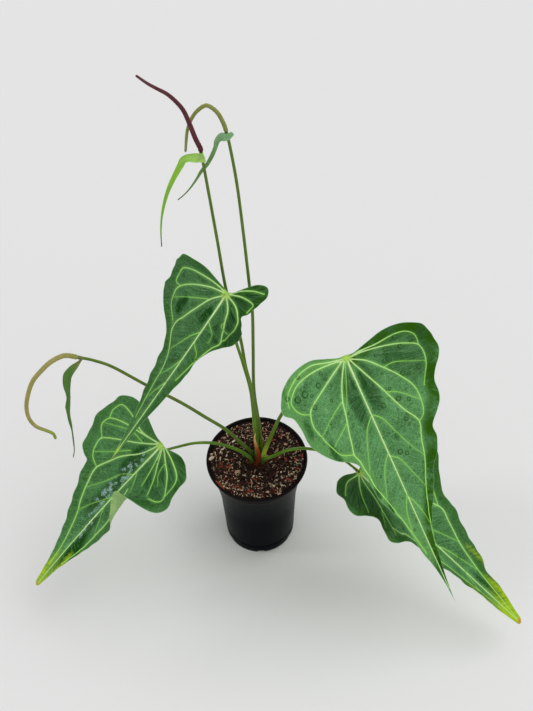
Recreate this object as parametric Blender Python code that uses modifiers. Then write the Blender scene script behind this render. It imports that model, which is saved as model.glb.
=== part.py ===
"""A potted anthurium with long delta-shaped leaves: pot, soil, stem, leaves, flower stalks, spathes and spadices.

The plant stands on z = 0 with its pot centred on the Z axis. Sizes are in millimetres and are turned
into metres as each mesh is made. Every piece is one closed solid in an object of its own.
"""
import math
import random
from dataclasses import dataclass

import bmesh
import bpy
import numpy as np
from mathutils import Vector
from mathutils.geometry import delaunay_2d_cdt

MM = 0.001
GAP = 0.3  # clearance between pieces that touch
MERGE = 0.00001

# Pot
POT_HEIGHT = 150.0
POT_BASE_RADIUS = 42.7
POT_WAIST_RADIUS = 45.9
POT_WAIST_HEIGHT = 78.0
POT_RIM_RADIUS = 59.6
POT_WALL = 1.5
POT_FLOOR = 2.0
POT_LIP = 1.2
POT_LIP_HEIGHT = 4.0
POT_SEGMENTS = 40
DRAIN_HOLES = 6
DRAIN_RADIUS = 4.0
DRAIN_CIRCLE = 28.0
FOOT_NOTCHES = 6
FOOT_NOTCH_WIDTH = 9.0
FOOT_NOTCH_HEIGHT = 3.5

# Soil
SOIL_EDGE_HEIGHT = 147.0
SOIL_DIP = 4.5  # how much lower it lies beside the stem
SOIL_RINGS = 15
SOIL_CHIPS = 85
SOIL_CHIP_LENGTH = (7.0, 12.0)
SOIL_CHIP_WIDTH = (3.0, 4.6)
SOIL_CHIP_HEIGHT = (0.9, 1.7)

# Stem
STEM_CENTRE = (1.0, 0.5)
STEM_RADIUS = 11.5
STEM_TOP = 147.0
STEM_FOOT = 100.0

# Leaves
BLADE_THICKNESS = 0.9
MIDRIB_ROUNDING = 4.0
MARGIN_STEP = 8.0
VEIN_STEP = 8.0
FILL_STEP = 12.5
FILL_CLEARANCE = 5.0
VEIN_DEPTH = 0.9
VEIN_SPREAD = 3.2
WAVE_HEIGHT = 3.2
WAVE_LENGTH = 44.0
WAVE_REACH = 80.0

# Stalks
STALK_STEP = 11.0
STALK_RESOLUTION = 2

# Spadices, the flower spikes
FLORET_RELIEF = 0.09
FLORETS_ROUND = 5
SPADIX_SIDES = 10
SPADIX_STEP = 4.0

# Colours
POT_BLACK = (0.010, 0.011, 0.013)
SOIL_BROWN = (0.060, 0.026, 0.016)
STEM_RED = (0.19, 0.045, 0.022)
SHEATH_ORANGE = (0.62, 0.22, 0.07)
LEAF_GREEN = (0.035, 0.125, 0.045)
PETIOLE_GREEN = (0.060, 0.150, 0.022)
STALK_GREEN = (0.090, 0.170, 0.030)
SPADIX_MAROON = (0.070, 0.014, 0.022)
SPADIX_OLIVE = (0.190, 0.230, 0.050)
SPADIX_BROWN = (0.340, 0.270, 0.100)
SPATHE_LIGHT = (0.260, 0.560, 0.130)
SPATHE_GREEN = (0.120, 0.350, 0.110)


@dataclass(frozen=True)
class Leaf:
    """One leaf blade: its midrib as a curve through space, and its two halves laid flat.

    The midrib is a quadratic curve from base to tip. left and right are the margins and veins in
    (distance along the midrib, distance from it). Folds turn each half about the midrib, in degrees.
    """

    name: str
    base: tuple
    bend: tuple
    tip: tuple
    left_fold: tuple
    right_fold: tuple
    left_margin: tuple
    right_margin: tuple
    left_veins: tuple
    right_veins: tuple
    right_curl: tuple = ((0, 0), (1, 0))
    wave_phase: float = 0.0


LEAVES = (
    Leaf(
        "leaf_blade_right",
        base=(99, 8, 320), bend=(145, -87, 255), tip=(210, -181, 130),
        left_fold=((0, 13), (290, 13)),
        right_fold=((0, 8), (150, 8), (230, -20), (290, -50)),
        left_margin=((-3, 9), (-7, 24), (-11, 41), (-8, 60), (0, 78), (11, 91), (27, 96), (36, 87), (55, 86),
                     (69, 81), (88, 65), (98, 48), (108, 39), (126, 37), (144, 36), (160, 29), (178, 20),
                     (197, 16), (220, 13), (244, 8), (268, 4)),
        right_margin=((-2, 10), (-7, 28), (-12, 48), (-11, 68), (-3, 86), (9, 95), (23, 98), (38, 91), (52, 82),
                      (78, 75), (90, 67), (104, 57), (117, 55), (130, 49), (147, 38), (168, 29), (190, 19),
                      (215, 10), (240, 5), (267, 3)),
        left_veins=(((2, 4), (1, 45), (7, 68), (20, 81), (38, 68)),
                    ((2, 6), (24, 47), (38, 67), (50, 71), (76, 60), (93, 40)),
                    ((3, 4), (21, 16), (54, 29), (93, 40), (135, 32), (174, 16), (215, 8))),
        right_veins=(((1, 4), (5, 47), (19, 80), (35, 78), (61, 67)),
                     ((3, 4), (25, 33), (61, 57), (86, 54), (94, 45)),
                     ((4, 3), (49, 24), (94, 45), (136, 33), (186, 16), (225, 7))),
        wave_phase=0.6,
    ),
    Leaf(
        "leaf_blade_upper",
        base=(-23, 30, 400), bend=(-68, 0, 343), tip=(-159, -42, 220),
        left_fold=((0, 10), (60, -2), (120, -7), (180, -3), (237, 1)),
        right_fold=((-30, -86), (0, -70), (17, -52), (45, -80), (75, -55), (120, -48), (237, -40)),
        left_margin=((-4, 12), (-7, 33), (-5, 52), (-1, 67), (8, 74), (28, 74), (47, 79), (60, 75), (69, 66),
                     (79, 50), (90, 38), (101, 35), (115, 32), (132, 25), (150, 20), (165, 14), (180, 10),
                     (198, 6), (218, 3)),
        right_margin=((-5, 5), (-14, 15), (-22, 30), (-23, 44), (-16, 50), (-6, 42), (6, 35), (13, 28), (22, 35),
                      (40, 49), (50, 46), (56, 33), (64, 22), (77, 15), (97, 15), (118, 13), (146, 10),
                      (175, 6), (210, 3)),
        left_veins=(((0, 5), (5, 47), (13, 62), (24, 65), (34, 58)),
                    ((1, 5), (20, 43), (33, 57), (50, 60), (68, 45)),
                    ((2, 3), (36, 23), (66, 38), (95, 24), (123, 16), (160, 9))),
        right_veins=(((-2, 5), (-5, 16), (-3, 30), (7, 30)),
                     ((1, 4), (16, 25), (31, 32), (45, 33), (50, 28)),
                     ((2, 4), (26, 16), (50, 27), (64, 15), (95, 9))),
        wave_phase=2.1,
    ),
    Leaf(
        "leaf_blade_low_left",
        base=(-107, -13, 200), bend=(-185, -76, 160), tip=(-265, -108, 60),
        left_fold=((0, 27), (234, 27)),
        right_fold=((0, 18), (60, 24), (117, 8), (175, -30), (234, -50)),
        left_margin=((-4, 12), (-12, 32), (-18, 50), (-15, 64), (-5, 74), (16, 77), (37, 73), (58, 68), (67, 57),
                     (71, 49), (85, 47), (98, 41), (114, 34), (130, 28), (150, 20), (175, 13), (201, 8),
                     (220, 5), (231, 3.5)),
        right_margin=((-2, 7), (-7, 27), (-8, 40), (-3, 55), (6, 69), (20, 74), (34, 82), (43, 80), (50, 68),
                      (56, 55), (66, 47), (80, 42), (92, 36), (104, 32), (124, 28), (146, 20), (167, 14),
                      (186, 10), (214, 6), (231, 3.5)),
        left_veins=(((1, 5), (4, 28), (-2, 57), (8, 69), (18, 65)),
                    ((1, 5), (9, 44), (20, 65), (32, 64), (41, 56)),
                    ((2, 4), (29, 41), (42, 56), (60, 52), (69, 38)),
                    ((3, 3), (40, 25), (70, 37), (108, 27), (142, 14), (185, 6))),
        right_veins=(((-1, 6), (6, 43), (17, 62), (30, 64)),
                     ((1, 5), (17, 44), (33, 64), (45, 49)),
                     ((3, 4), (27, 28), (45, 43)),
                     ((70, 14), (99, 20), (123, 19), (150, 14), (185, 8))),
        right_curl=((48, 0), (66, 5.2), (84, 4.6), (104, 0)),
        wave_phase=4.0,
    ),
    Leaf(
        "leaf_blade_low_right",
        base=(116, -45, 180), bend=(198, -116, 137), tip=(299, -167, 40),
        left_fold=((0, 37), (262, 35)),
        right_fold=((0, 12), (130, 17), (262, 20)),
        left_margin=((-5, 8), (-12, 31), (-13, 53), (-6, 70), (5, 72), (13, 86), (21, 84), (30, 65), (38, 53),
                     (47, 54), (54, 68), (61, 75), (69, 66), (79, 46), (90, 36), (108, 37), (127, 34), (146, 26),
                     (167, 24), (182, 18), (200, 16), (220, 14), (243, 9), (258, 5)),
        right_margin=((-5, 10), (-10, 30), (-10, 52), (-2, 70), (12, 80), (30, 84), (53, 78), (69, 65), (90, 48),
                      (110, 46), (125, 39), (144, 32), (169, 26), (188, 17), (206, 16), (226, 12), (246, 7), (259, 4)),
        left_veins=(((0, 4), (-4, 35), (3, 60)),
                    ((1, 3), (16, 35), (31, 53)),
                    ((4, 3), (35, 20), (60, 43), (76, 32)),
                    ((70, 10), (110, 18), (141, 15), (191, 7))),
        right_veins=(((1, 5), (8, 40), (25, 66)),
                     ((3, 4), (35, 33), (60, 52), (93, 35)),
                     ((50, 6), (93, 35), (139, 21), (186, 11), (225, 6))),
        wave_phase=5.2,
    ),
)

# Each stalk: (name, colour, radius at the foot, radius at the top, route). A route starts at a place on the top
# of the stem, and a petiole's goes on to its seat.
STALKS = (
    ("petiole_upper", PETIOLE_GREEN, 2.3, 1.4,
     ((0, 0), (0, 1, 175), (-1, 3, 212), (-3, 11, 263), (-10, 24, 296), (-17, 39, 318), (-21, 49, 345),
      (-21.5, 47, 375))),
    ("petiole_right", PETIOLE_GREEN, 2.3, 1.4,
     ((8.2, 1.5), (9.5, 2, 161), (16, 3, 183), (29, 4, 226), (46, 6, 259), (66, 9, 286), (83, 12.5, 302))),
    ("petiole_low_left", PETIOLE_GREEN, 2.2, 1.4,
     ((-6, -3.8), (-9.5, -4, 159), (-20, -2, 169), (-36, 1, 176), (-53, 2, 181), (-72, 0, 184),
      (-90, -5, 185))),
    ("petiole_low_right", PETIOLE_GREEN, 2.2, 1.4,
     ((6.5, -5), (10.5, -6.5, 157), (21, -9, 166.5), (34, -14, 183), (50, -21, 197), (69, -28, 203),
      (90, -31, 196))),
    ("peduncle_tall_left", STALK_GREEN, 2.1, 1.5,
     ((0.5, 6.2), (1, 9, 170), (1, 13, 198), (-2, 24, 246), (-8, 38, 273), (-12, 52, 302),
      (-19, 64, 336), (-25, 69, 368), (-30, 72, 435), (-34, 72, 491), (-38, 70, 548.5))),
    ("peduncle_tall_right", STALK_GREEN, 2.1, 1.5,
     ((5.8, 6.6), (5.8, 11, 168), (4, 19, 195), (0, 32, 239), (1, 48, 290), (2, 60, 339), (0, 66, 376),
      (-3, 72, 434), (-7, 75, 503), (-11.5, 75, 549), (-14, 75, 566))),
    ("peduncle_low_left", STALK_GREEN, 2.1, 1.6,
     ((-5.6, 3.6), (-9, 6, 158), (-19, 10, 169), (-35, 16, 187), (-58, 24, 202), (-85, 32, 221),
      (-121, 36, 250), (-151, 28, 293), (-168, 18, 318), (-181, 8, 336))),
)

# Each petiole's seat on its blade: (blade, place along the midrib, lean to the left and pitch to the back in
# degrees from straight under the blade, distance from the middle of the blade's thickness)
SEATS = {
    "petiole_upper": ("leaf_blade_upper", 2.0, 35.0, 0.0, 1.9),
    "petiole_right": ("leaf_blade_right", 2.0, 0.0, 0.0, 0.9),
    "petiole_low_left": ("leaf_blade_low_left", 2.0, 0.0, 0.0, 0.9),
    "petiole_low_right": ("leaf_blade_low_right", -3.0, 0.0, 90.0, 0.8),
}
SEAT_RUN = 9.0  # straight length of a petiole just before its seat
FOOT_RUN = 4.0  # upright length of a stalk just above the stem

# Each spadix: (name, the stalk that carries it, colour, radius at the foot, radius at the tip, route past its foot)
SPADICES = (
    ("spadix_tall_left", "peduncle_tall_left", SPADIX_MAROON, 2.4, 1.0,
     ((-41.7, 67, 566), (-45, 63, 584), (-48.7, 57, 603.5), (-53.6, 51, 617.5), (-60, 44, 631),
      (-67.5, 35, 643.5), (-73, 27, 654), (-79, 12, 672))),
    ("spadix_tall_right", "peduncle_tall_right", SPADIX_OLIVE, 2.1, 1.2,
     ((-16.4, 76, 576), (-20, 77, 584.5), (-25, 77, 591), (-30.6, 77, 594), (-36.7, 76, 591),
      (-42, 75, 585.5), (-46.5, 74, 577), (-49.5, 73, 567), (-52.3, 71, 548))),
    ("spadix_low_left", "peduncle_low_left", SPADIX_BROWN, 2.9, 1.8,
     ((-192, 1, 347.5), (-203, -8, 350), (-212, -17, 348), (-222, -26, 341),
      (-228, -35, 330), (-231, -42, 318), (-230, -47, 306), (-225, -49, 295), (-216, -49, 287),
      (-210, -49, 281), (-209, -49, 272))),
)

# Each strap: (name, the stalk whose top it clasps from the front or None, colour, start, route of its centre line
# past the stalk, half widths along it, channel in degrees). A clasping strap's start is given from the middle of
# its clasp.
STRAPS = (
    ("spathe_tall_left", "peduncle_tall_left", SPATHE_LIGHT, (2.4, 0, 0.2),
     ((-41, 65, 547), (-46, 62, 549), (-50.7, 59, 550.5), (-54, 57, 549.5), (-56.3, 55, 546), (-60.5, 52, 540),
      (-65.5, 48, 532.5), (-69.6, 45, 524.5), (-73.3, 42, 515), (-76.4, 40, 504), (-78.7, 39, 492.5),
      (-80.4, 38, 479), (-81.5, 38, 461.5)),
     (4.4, 4.6, 3.4, 3.0, 2.8, 2.5, 2.1, 1.7, 1.3, 1.0, 0.8, 0.7, 0.5), 35.0),
    ("spathe_tall_right", "peduncle_tall_right", SPATHE_GREEN, (4.8, 0, 3.6),
     ((-18.3, 74.5, 560), (-22.6, 76, 554), (-24.8, 77, 546), (-28.7, 78, 536.5), (-33.6, 78, 527.5),
      (-39.9, 77, 519.5), (-44.6, 75, 512.5), (-50.4, 72, 505.5), (-56.8, 69, 499.5), (-63.8, 66, 495)),
     (2.6, 4.3, 3.0, 2.5, 2.6, 2.5, 2.3, 1.9, 1.4, 0.9, 0.7, 0.5), 35.0),
    ("spathe_low_left", "peduncle_low_left", SPATHE_GREEN, (1.2, -0.8, 0.4),
     ((-182.5, 3, 331), (-187.8, -0.5, 327), (-192.7, -3, 318.5), (-195.5, -5, 303.5), (-197, -6, 286.5),
      (-200.8, -6, 268), (-202.6, -6, 249), (-203.4, -6, 229.5), (-205.2, -6, 209.5), (-207.6, -6, 188.5),
      (-211.4, -6, 173)),
     (1.0, 3.4, 4.7, 3.9, 3.0, 2.1, 2.6, 2.3, 1.7, 1.2, 0.9, 0.8, 0.7, 0.6, 0.5), 35.0),
    ("cataphyll", None, SHEATH_ORANGE, (-2.0, -8.8, 147.7),
     ((-1.2, -9.2, 151.6), (1.4, -9.5, 159), (2.6, -9.5, 170), (1.5, -9.3, 181), (-0.3, -9, 191),
      (-1.2, -8.5, 202.5), (0.1, -8, 211)),
     (1.6, 1.6, 1.4, 1.3, 1.2, 1.0, 0.5), 25.0),
)
STRAP_THICKNESS = 0.8
STRAP_STEP = 6.0
STRAP_FACING = np.array((0.0, -0.77, 0.64))  # the way that a strap's hollow side faces
STRAP_TURN = 24.0  # length over which a clasping strap turns to that way
STRAP_DROP = 5.0  # how far below the top of its stalk a clasping strap's middle lies


def clear_scene():
    """Remove every object that the scene starts with."""
    for item in list(bpy.data.objects):
        bpy.data.objects.remove(item, do_unlink=True)


def new_collection(name):
    """Return a new collection linked to the scene."""
    collection = bpy.data.collections.new(name)
    bpy.context.scene.collection.children.link(collection)
    return collection


def make_material(name, colour, roughness):
    """Return a plain Principled material."""
    material = bpy.data.materials.new(name)
    material.use_nodes = True
    shader = material.node_tree.nodes["Principled BSDF"]
    shader.inputs["Base Color"].default_value = (*colour, 1.0)
    shader.inputs["Roughness"].default_value = roughness
    shader.inputs["Metallic"].default_value = 0.0
    return material


def add_object(name, data, collection, colour=None, roughness=0.5):
    """Link a mesh or curve as a named object with a material of its own."""
    item = bpy.data.objects.new(name, data)
    collection.objects.link(item)
    if colour is not None:
        data.materials.append(make_material(name + "_finish", colour, roughness))
    return item


def mesh_from_bmesh(name, bm, smooth_angle=None):
    """Write a bmesh to a new mesh, shaded smooth up to the given angle in degrees."""
    mesh = bpy.data.meshes.new(name)
    bm.to_mesh(mesh)
    bm.free()
    if smooth_angle is not None:
        mesh.shade_smooth()
        mesh.set_sharp_from_angle(angle=math.radians(smooth_angle))
    return mesh


def unit(vector):
    """Return a vector of length 1 in the same direction."""
    return np.asarray(vector, float) / np.linalg.norm(vector)


def smooth_route(points, step):
    """Return points about step apart on a Catmull-Rom curve through the given ones."""
    knots = [np.array(point, float) for point in points]
    knots = [2 * knots[0] - knots[1]] + knots + [2 * knots[-1] - knots[-2]]
    route = []
    for before, start, end, after in zip(knots, knots[1:], knots[2:], knots[3:]):
        count = max(1, round(np.linalg.norm(end - start) / step))
        for index in range(count):
            t = index / count
            route.append(0.5 * (2 * start + (end - before) * t
                                + (2 * before - 5 * start + 4 * end - after) * t ** 2
                                + (3 * start - before - 3 * end + after) * t ** 3))
    route.append(knots[-2])
    return np.array(route)


def eased(position, knots):
    """Return the value at each position from (position, value) knots, eased between them."""
    places = np.array([knot[0] for knot in knots], float)
    values = np.array([knot[1] for knot in knots], float)
    index = np.clip(np.searchsorted(places, position) - 1, 0, len(places) - 2)
    t = np.clip((position - places[index]) / (places[index + 1] - places[index]), 0, 1)
    return values[index] + (values[index + 1] - values[index]) * t * t * (3 - 2 * t)


def screw_mesh(name, profile, segments, collection):
    """Turn a profile of (radius, height) about the Z axis into a mesh, and return the mesh."""
    bm = bmesh.new()
    points = [bm.verts.new((radius * MM, 0, height * MM)) for radius, height in profile]
    for start, end in zip(points, points[1:]):
        bm.edges.new((start, end))
    item = add_object(name + "_turned", mesh_from_bmesh(name + "_profile", bm), collection)
    screw = item.modifiers.new("Turn", "SCREW")
    screw.steps = segments
    screw.render_steps = segments
    screw.use_merge_vertices = True
    screw.merge_threshold = MERGE
    mesh = bpy.data.meshes.new_from_object(item.evaluated_get(bpy.context.evaluated_depsgraph_get()))
    mesh.name = name
    bpy.data.objects.remove(item, do_unlink=True)
    return mesh


def add_cutter(name, bm, cutters, target):
    """Cut the target with the shape in a bmesh."""
    cutter = add_object(name, mesh_from_bmesh(name, bm), cutters)
    cutter.hide_render = True
    cutter.display_type = "WIRE"
    cut = target.modifiers.new(name, "BOOLEAN")
    cut.operation = "DIFFERENCE"
    cut.solver = "EXACT"
    cut.object = cutter


def pot_outside(height):
    """Return the pot's outer radius at a height: nearly straight below the waist, flared above it."""
    if height <= POT_WAIST_HEIGHT:
        return POT_BASE_RADIUS + (POT_WAIST_RADIUS - POT_BASE_RADIUS) * height / POT_WAIST_HEIGHT
    t = (height - POT_WAIST_HEIGHT) / (POT_HEIGHT - POT_WAIST_HEIGHT)
    return POT_WAIST_RADIUS + (POT_RIM_RADIUS - POT_LIP - POT_WAIST_RADIUS) * (0.45 * t + 0.55 * t * t)


def build_pot(parts, cutters):
    """Make the thin flared nursery pot, with a rolled lip, drain holes and notches round its foot."""
    heights = [0.0, 30.0, POT_WAIST_HEIGHT, 96.0, 112.0, 128.0]
    lip_foot = POT_HEIGHT - POT_LIP_HEIGHT
    outside = [(POT_BASE_RADIUS - 1.0, 0.0)] + [(pot_outside(h), max(h, 1.0)) for h in heights]
    outside += [(pot_outside(lip_foot), lip_foot), (POT_RIM_RADIUS, lip_foot + 0.6),
                (POT_RIM_RADIUS, POT_HEIGHT - 0.8), (POT_RIM_RADIUS - 0.8, POT_HEIGHT)]
    inside = [(pot_outside(h) - POT_WALL, h) for h in [POT_FLOOR, *heights[1:], POT_HEIGHT - 0.8]]
    inside[-1] = (inside[-1][0], POT_HEIGHT)
    profile = [(0.0, 0.0), *outside, *reversed(inside), (0.0, POT_FLOOR)]
    mesh = screw_mesh("pot", profile[::-1], POT_SEGMENTS, parts)
    pot = add_object("pot", mesh, parts, POT_BLACK, 0.38)
    for index in range(DRAIN_HOLES):
        angle = 2 * math.pi * index / DRAIN_HOLES
        bm = bmesh.new()
        bmesh.ops.create_cone(bm, cap_ends=True, segments=12, radius1=DRAIN_RADIUS * MM,
                              radius2=DRAIN_RADIUS * MM, depth=4 * POT_FLOOR * MM)
        place = Vector((math.cos(angle), math.sin(angle), 0)) * DRAIN_CIRCLE * MM
        bmesh.ops.translate(bm, verts=bm.verts, vec=place)
        add_cutter(f"drain_hole_{index + 1}", bm, cutters, pot)
    for index in range(FOOT_NOTCHES):
        angle = 2 * math.pi * (index + 0.5) / FOOT_NOTCHES
        bm = bmesh.new()
        bmesh.ops.create_cube(bm, size=MM)
        bmesh.ops.scale(bm, verts=bm.verts, vec=(10.0, FOOT_NOTCH_WIDTH, 2 * FOOT_NOTCH_HEIGHT))
        bmesh.ops.translate(bm, verts=bm.verts, vec=(POT_BASE_RADIUS * MM, 0, 0))
        rotation = Vector((1, 0, 0)).rotation_difference(Vector((math.cos(angle), math.sin(angle), 0)))
        bmesh.ops.rotate(bm, verts=bm.verts, matrix=rotation.to_matrix())
        add_cutter(f"foot_notch_{index + 1}", bm, cutters, pot)
    return pot


def chip_relief(radius, seed):
    """Return a function that gives the height of bark chips lying on the soil at a place."""
    draw = random.Random(seed)
    chips = []
    for _ in range(SOIL_CHIPS):
        distance = radius * math.sqrt(draw.random())
        bearing = draw.uniform(0, 2 * math.pi)
        turn = draw.uniform(0, math.pi)
        chips.append((distance * math.cos(bearing), distance * math.sin(bearing), math.cos(turn),
                      math.sin(turn), draw.uniform(*SOIL_CHIP_LENGTH) / 2, draw.uniform(*SOIL_CHIP_WIDTH) / 2,
                      draw.uniform(*SOIL_CHIP_HEIGHT)))

    def height(x, y):
        best = 0.0
        for cx, cy, along_x, along_y, half_length, half_width, rise in chips:
            along = abs((x - cx) * along_x + (y - cy) * along_y) / half_length
            across = abs((y - cy) * along_x - (x - cx) * along_y) / half_width
            if max(along, across) < 1.3:
                best = max(best, rise * (1 - max(along, across) ** 3 / 2.2))
        return best

    return height


def build_soil(parts):
    """Make the soil that fills the pot: a turned body with a plain hole for the stem and chips on top."""
    edge = pot_outside(SOIL_EDGE_HEIGHT) - POT_WALL - GAP
    hole = STEM_RADIUS + GAP
    rings = []
    for index in range(SOIL_RINGS + 1):
        t = index / SOIL_RINGS
        rings.append((edge + (hole - edge) * t, SOIL_EDGE_HEIGHT - SOIL_DIP * math.sin(t * math.pi / 2)))
    side = [(pot_outside(h) - POT_WALL - GAP, h) for h in (POT_FLOOR + GAP, 30, POT_WAIST_HEIGHT, 96, 112, 128)]
    profile = [(0, POT_FLOOR + GAP), *side, *rings, (hole, STEM_FOOT - GAP), (0, STEM_FOOT - GAP)]
    mesh = screw_mesh("soil", profile[::-1], POT_SEGMENTS, parts)
    relief = chip_relief(edge, seed=11)
    draw = random.Random(5)
    for vertex in mesh.vertices:
        x, y, z = (value / MM for value in vertex.co)
        if z > SOIL_EDGE_HEIGHT - SOIL_DIP - 0.01 and math.hypot(x, y) < edge - 0.5:
            vertex.co.z = (z + relief(x, y) + draw.uniform(-0.45, 0.45)) * MM
    for vertex in mesh.vertices:
        if vertex.co.length > 0 and math.hypot(vertex.co.x, vertex.co.y) < (hole + 0.01) * MM \
                and vertex.co.z > (STEM_FOOT - 1) * MM:
            vertex.co.x += STEM_CENTRE[0] * MM
            vertex.co.y += STEM_CENTRE[1] * MM
    return add_object("soil", mesh, parts, SOIL_BROWN, 0.95)


def build_stem(parts):
    """Make the short stem that stands in the soil and carries every stalk."""
    profile = [(0, STEM_FOOT), (STEM_RADIUS * 0.72, STEM_FOOT), (STEM_RADIUS, STEM_FOOT + 8),
               (STEM_RADIUS, STEM_TOP - 6), (STEM_RADIUS - 0.6, STEM_TOP - 1.5),
               (STEM_RADIUS - 1.6, STEM_TOP), (0, STEM_TOP)]
    mesh = screw_mesh("stem", profile[::-1], 24, parts)
    mesh.shade_smooth()
    mesh.set_sharp_from_angle(angle=math.radians(40))
    stem = add_object("stem", mesh, parts, STEM_RED, 0.7)
    stem.location = (STEM_CENTRE[0] * MM, STEM_CENTRE[1] * MM, 0)
    return stem


def build_stalk(name, colour, foot, top, route, parts):
    """Make a round, tapering stalk as a curve with filled caps."""
    points = smooth_route(route, STALK_STEP)
    curve = bpy.data.curves.new(name, "CURVE")
    curve.dimensions = "3D"
    curve.bevel_depth = MM
    curve.bevel_resolution = STALK_RESOLUTION
    curve.use_fill_caps = True
    spline = curve.splines.new("POLY")
    spline.points.add(len(points) - 1)
    for index, (place, point) in enumerate(zip(points, spline.points)):
        point.co = (*(place * MM), 1)
        point.radius = foot + (top - foot) * index / (len(points) - 1)
    return add_object(name, curve, parts, colour, 0.45)


def ring_frames(points):
    """Return a direction and two side vectors at each point, carried along without twist."""
    frames = []
    side = Vector((0, 1, 0))
    for index in range(len(points)):
        ahead = points[min(index + 1, len(points) - 1)] - points[max(index - 1, 0)]
        along = Vector(ahead).normalized()
        side = (side - along * side.dot(along)).normalized()
        frames.append((along, side, along.cross(side)))
    return frames


def build_spadix(name, colour, foot, tip, route, parts):
    """Make a flower spike: a tube whose skin is raised in rows of small florets by a formula."""
    points = smooth_route(route, SPADIX_STEP)
    frames = ring_frames(points)
    bm = bmesh.new()
    rings = []
    for index, (point, (_, side, other)) in enumerate(zip(points, frames)):
        t = index / (len(points) - 1)
        radius = foot + (tip - foot) * t ** 1.5
        if index in (0, len(points) - 1):
            radius *= 0.8
        ring = []
        for step in range(SPADIX_SIDES):
            angle = 2 * math.pi * step / SPADIX_SIDES
            floret = math.cos(FLORETS_ROUND * angle + math.pi * index)
            offset = (side * math.cos(angle) + other * math.sin(angle)) * radius * (1 + FLORET_RELIEF * floret)
            ring.append(bm.verts.new((Vector(point) + offset) * MM))
        rings.append(ring)
    for ring, following in zip(rings, rings[1:]):
        for step in range(SPADIX_SIDES):
            after = (step + 1) % SPADIX_SIDES
            bm.faces.new((ring[step], ring[after], following[after], following[step]))
    bm.faces.new(rings[0][::-1])
    bm.faces.new(rings[-1])
    bmesh.ops.recalc_face_normals(bm, faces=bm.faces)
    return add_object(name, mesh_from_bmesh(name, bm, 50), parts, colour, 0.6)


def build_strap(name, colour, route, half_widths, channel, facing, parts):
    """Make a narrow channelled strap, such as a spathe: a grid laid along a route, then thickened.

    Its hollow side starts out facing the given way and turns to the way that every strap faces.
    """
    points = smooth_route(route, STRAP_STEP)
    places = np.linspace(0, len(half_widths) - 1, len(points))
    widths = np.interp(places, range(len(half_widths)), half_widths)
    bm = bmesh.new()
    rows = []
    for index, point in enumerate(points):
        ahead = Vector(points[min(index + 1, len(points) - 1)] - points[max(index - 1, 0)]).normalized()
        turn = min(1.0, index * STRAP_STEP / STRAP_TURN)
        across = ahead.cross(Vector(facing * (1 - turn) + STRAP_FACING * turn)).normalized()
        normal = across.cross(ahead)
        rise = math.sin(math.radians(channel))
        row = []
        for share in (-1, -0.5, 0, 0.5, 1):
            offset = across * share * widths[index] + normal * rise * share * share * widths[index]
            row.append(bm.verts.new((Vector(point) + offset) * MM))
        rows.append(row)
    for row, following in zip(rows, rows[1:]):
        for left, right, far_right, far_left in zip(row, row[1:], following[1:], following):
            bm.faces.new((left, right, far_right, far_left))
    bmesh.ops.triangulate(bm, faces=bm.faces)
    strap = add_object(name, mesh_from_bmesh(name, bm, 60), parts, colour, 0.5)
    thicken = strap.modifiers.new("Thickness", "SOLIDIFY")
    thicken.thickness = STRAP_THICKNESS * MM
    thicken.offset = 0
    return strap


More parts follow.
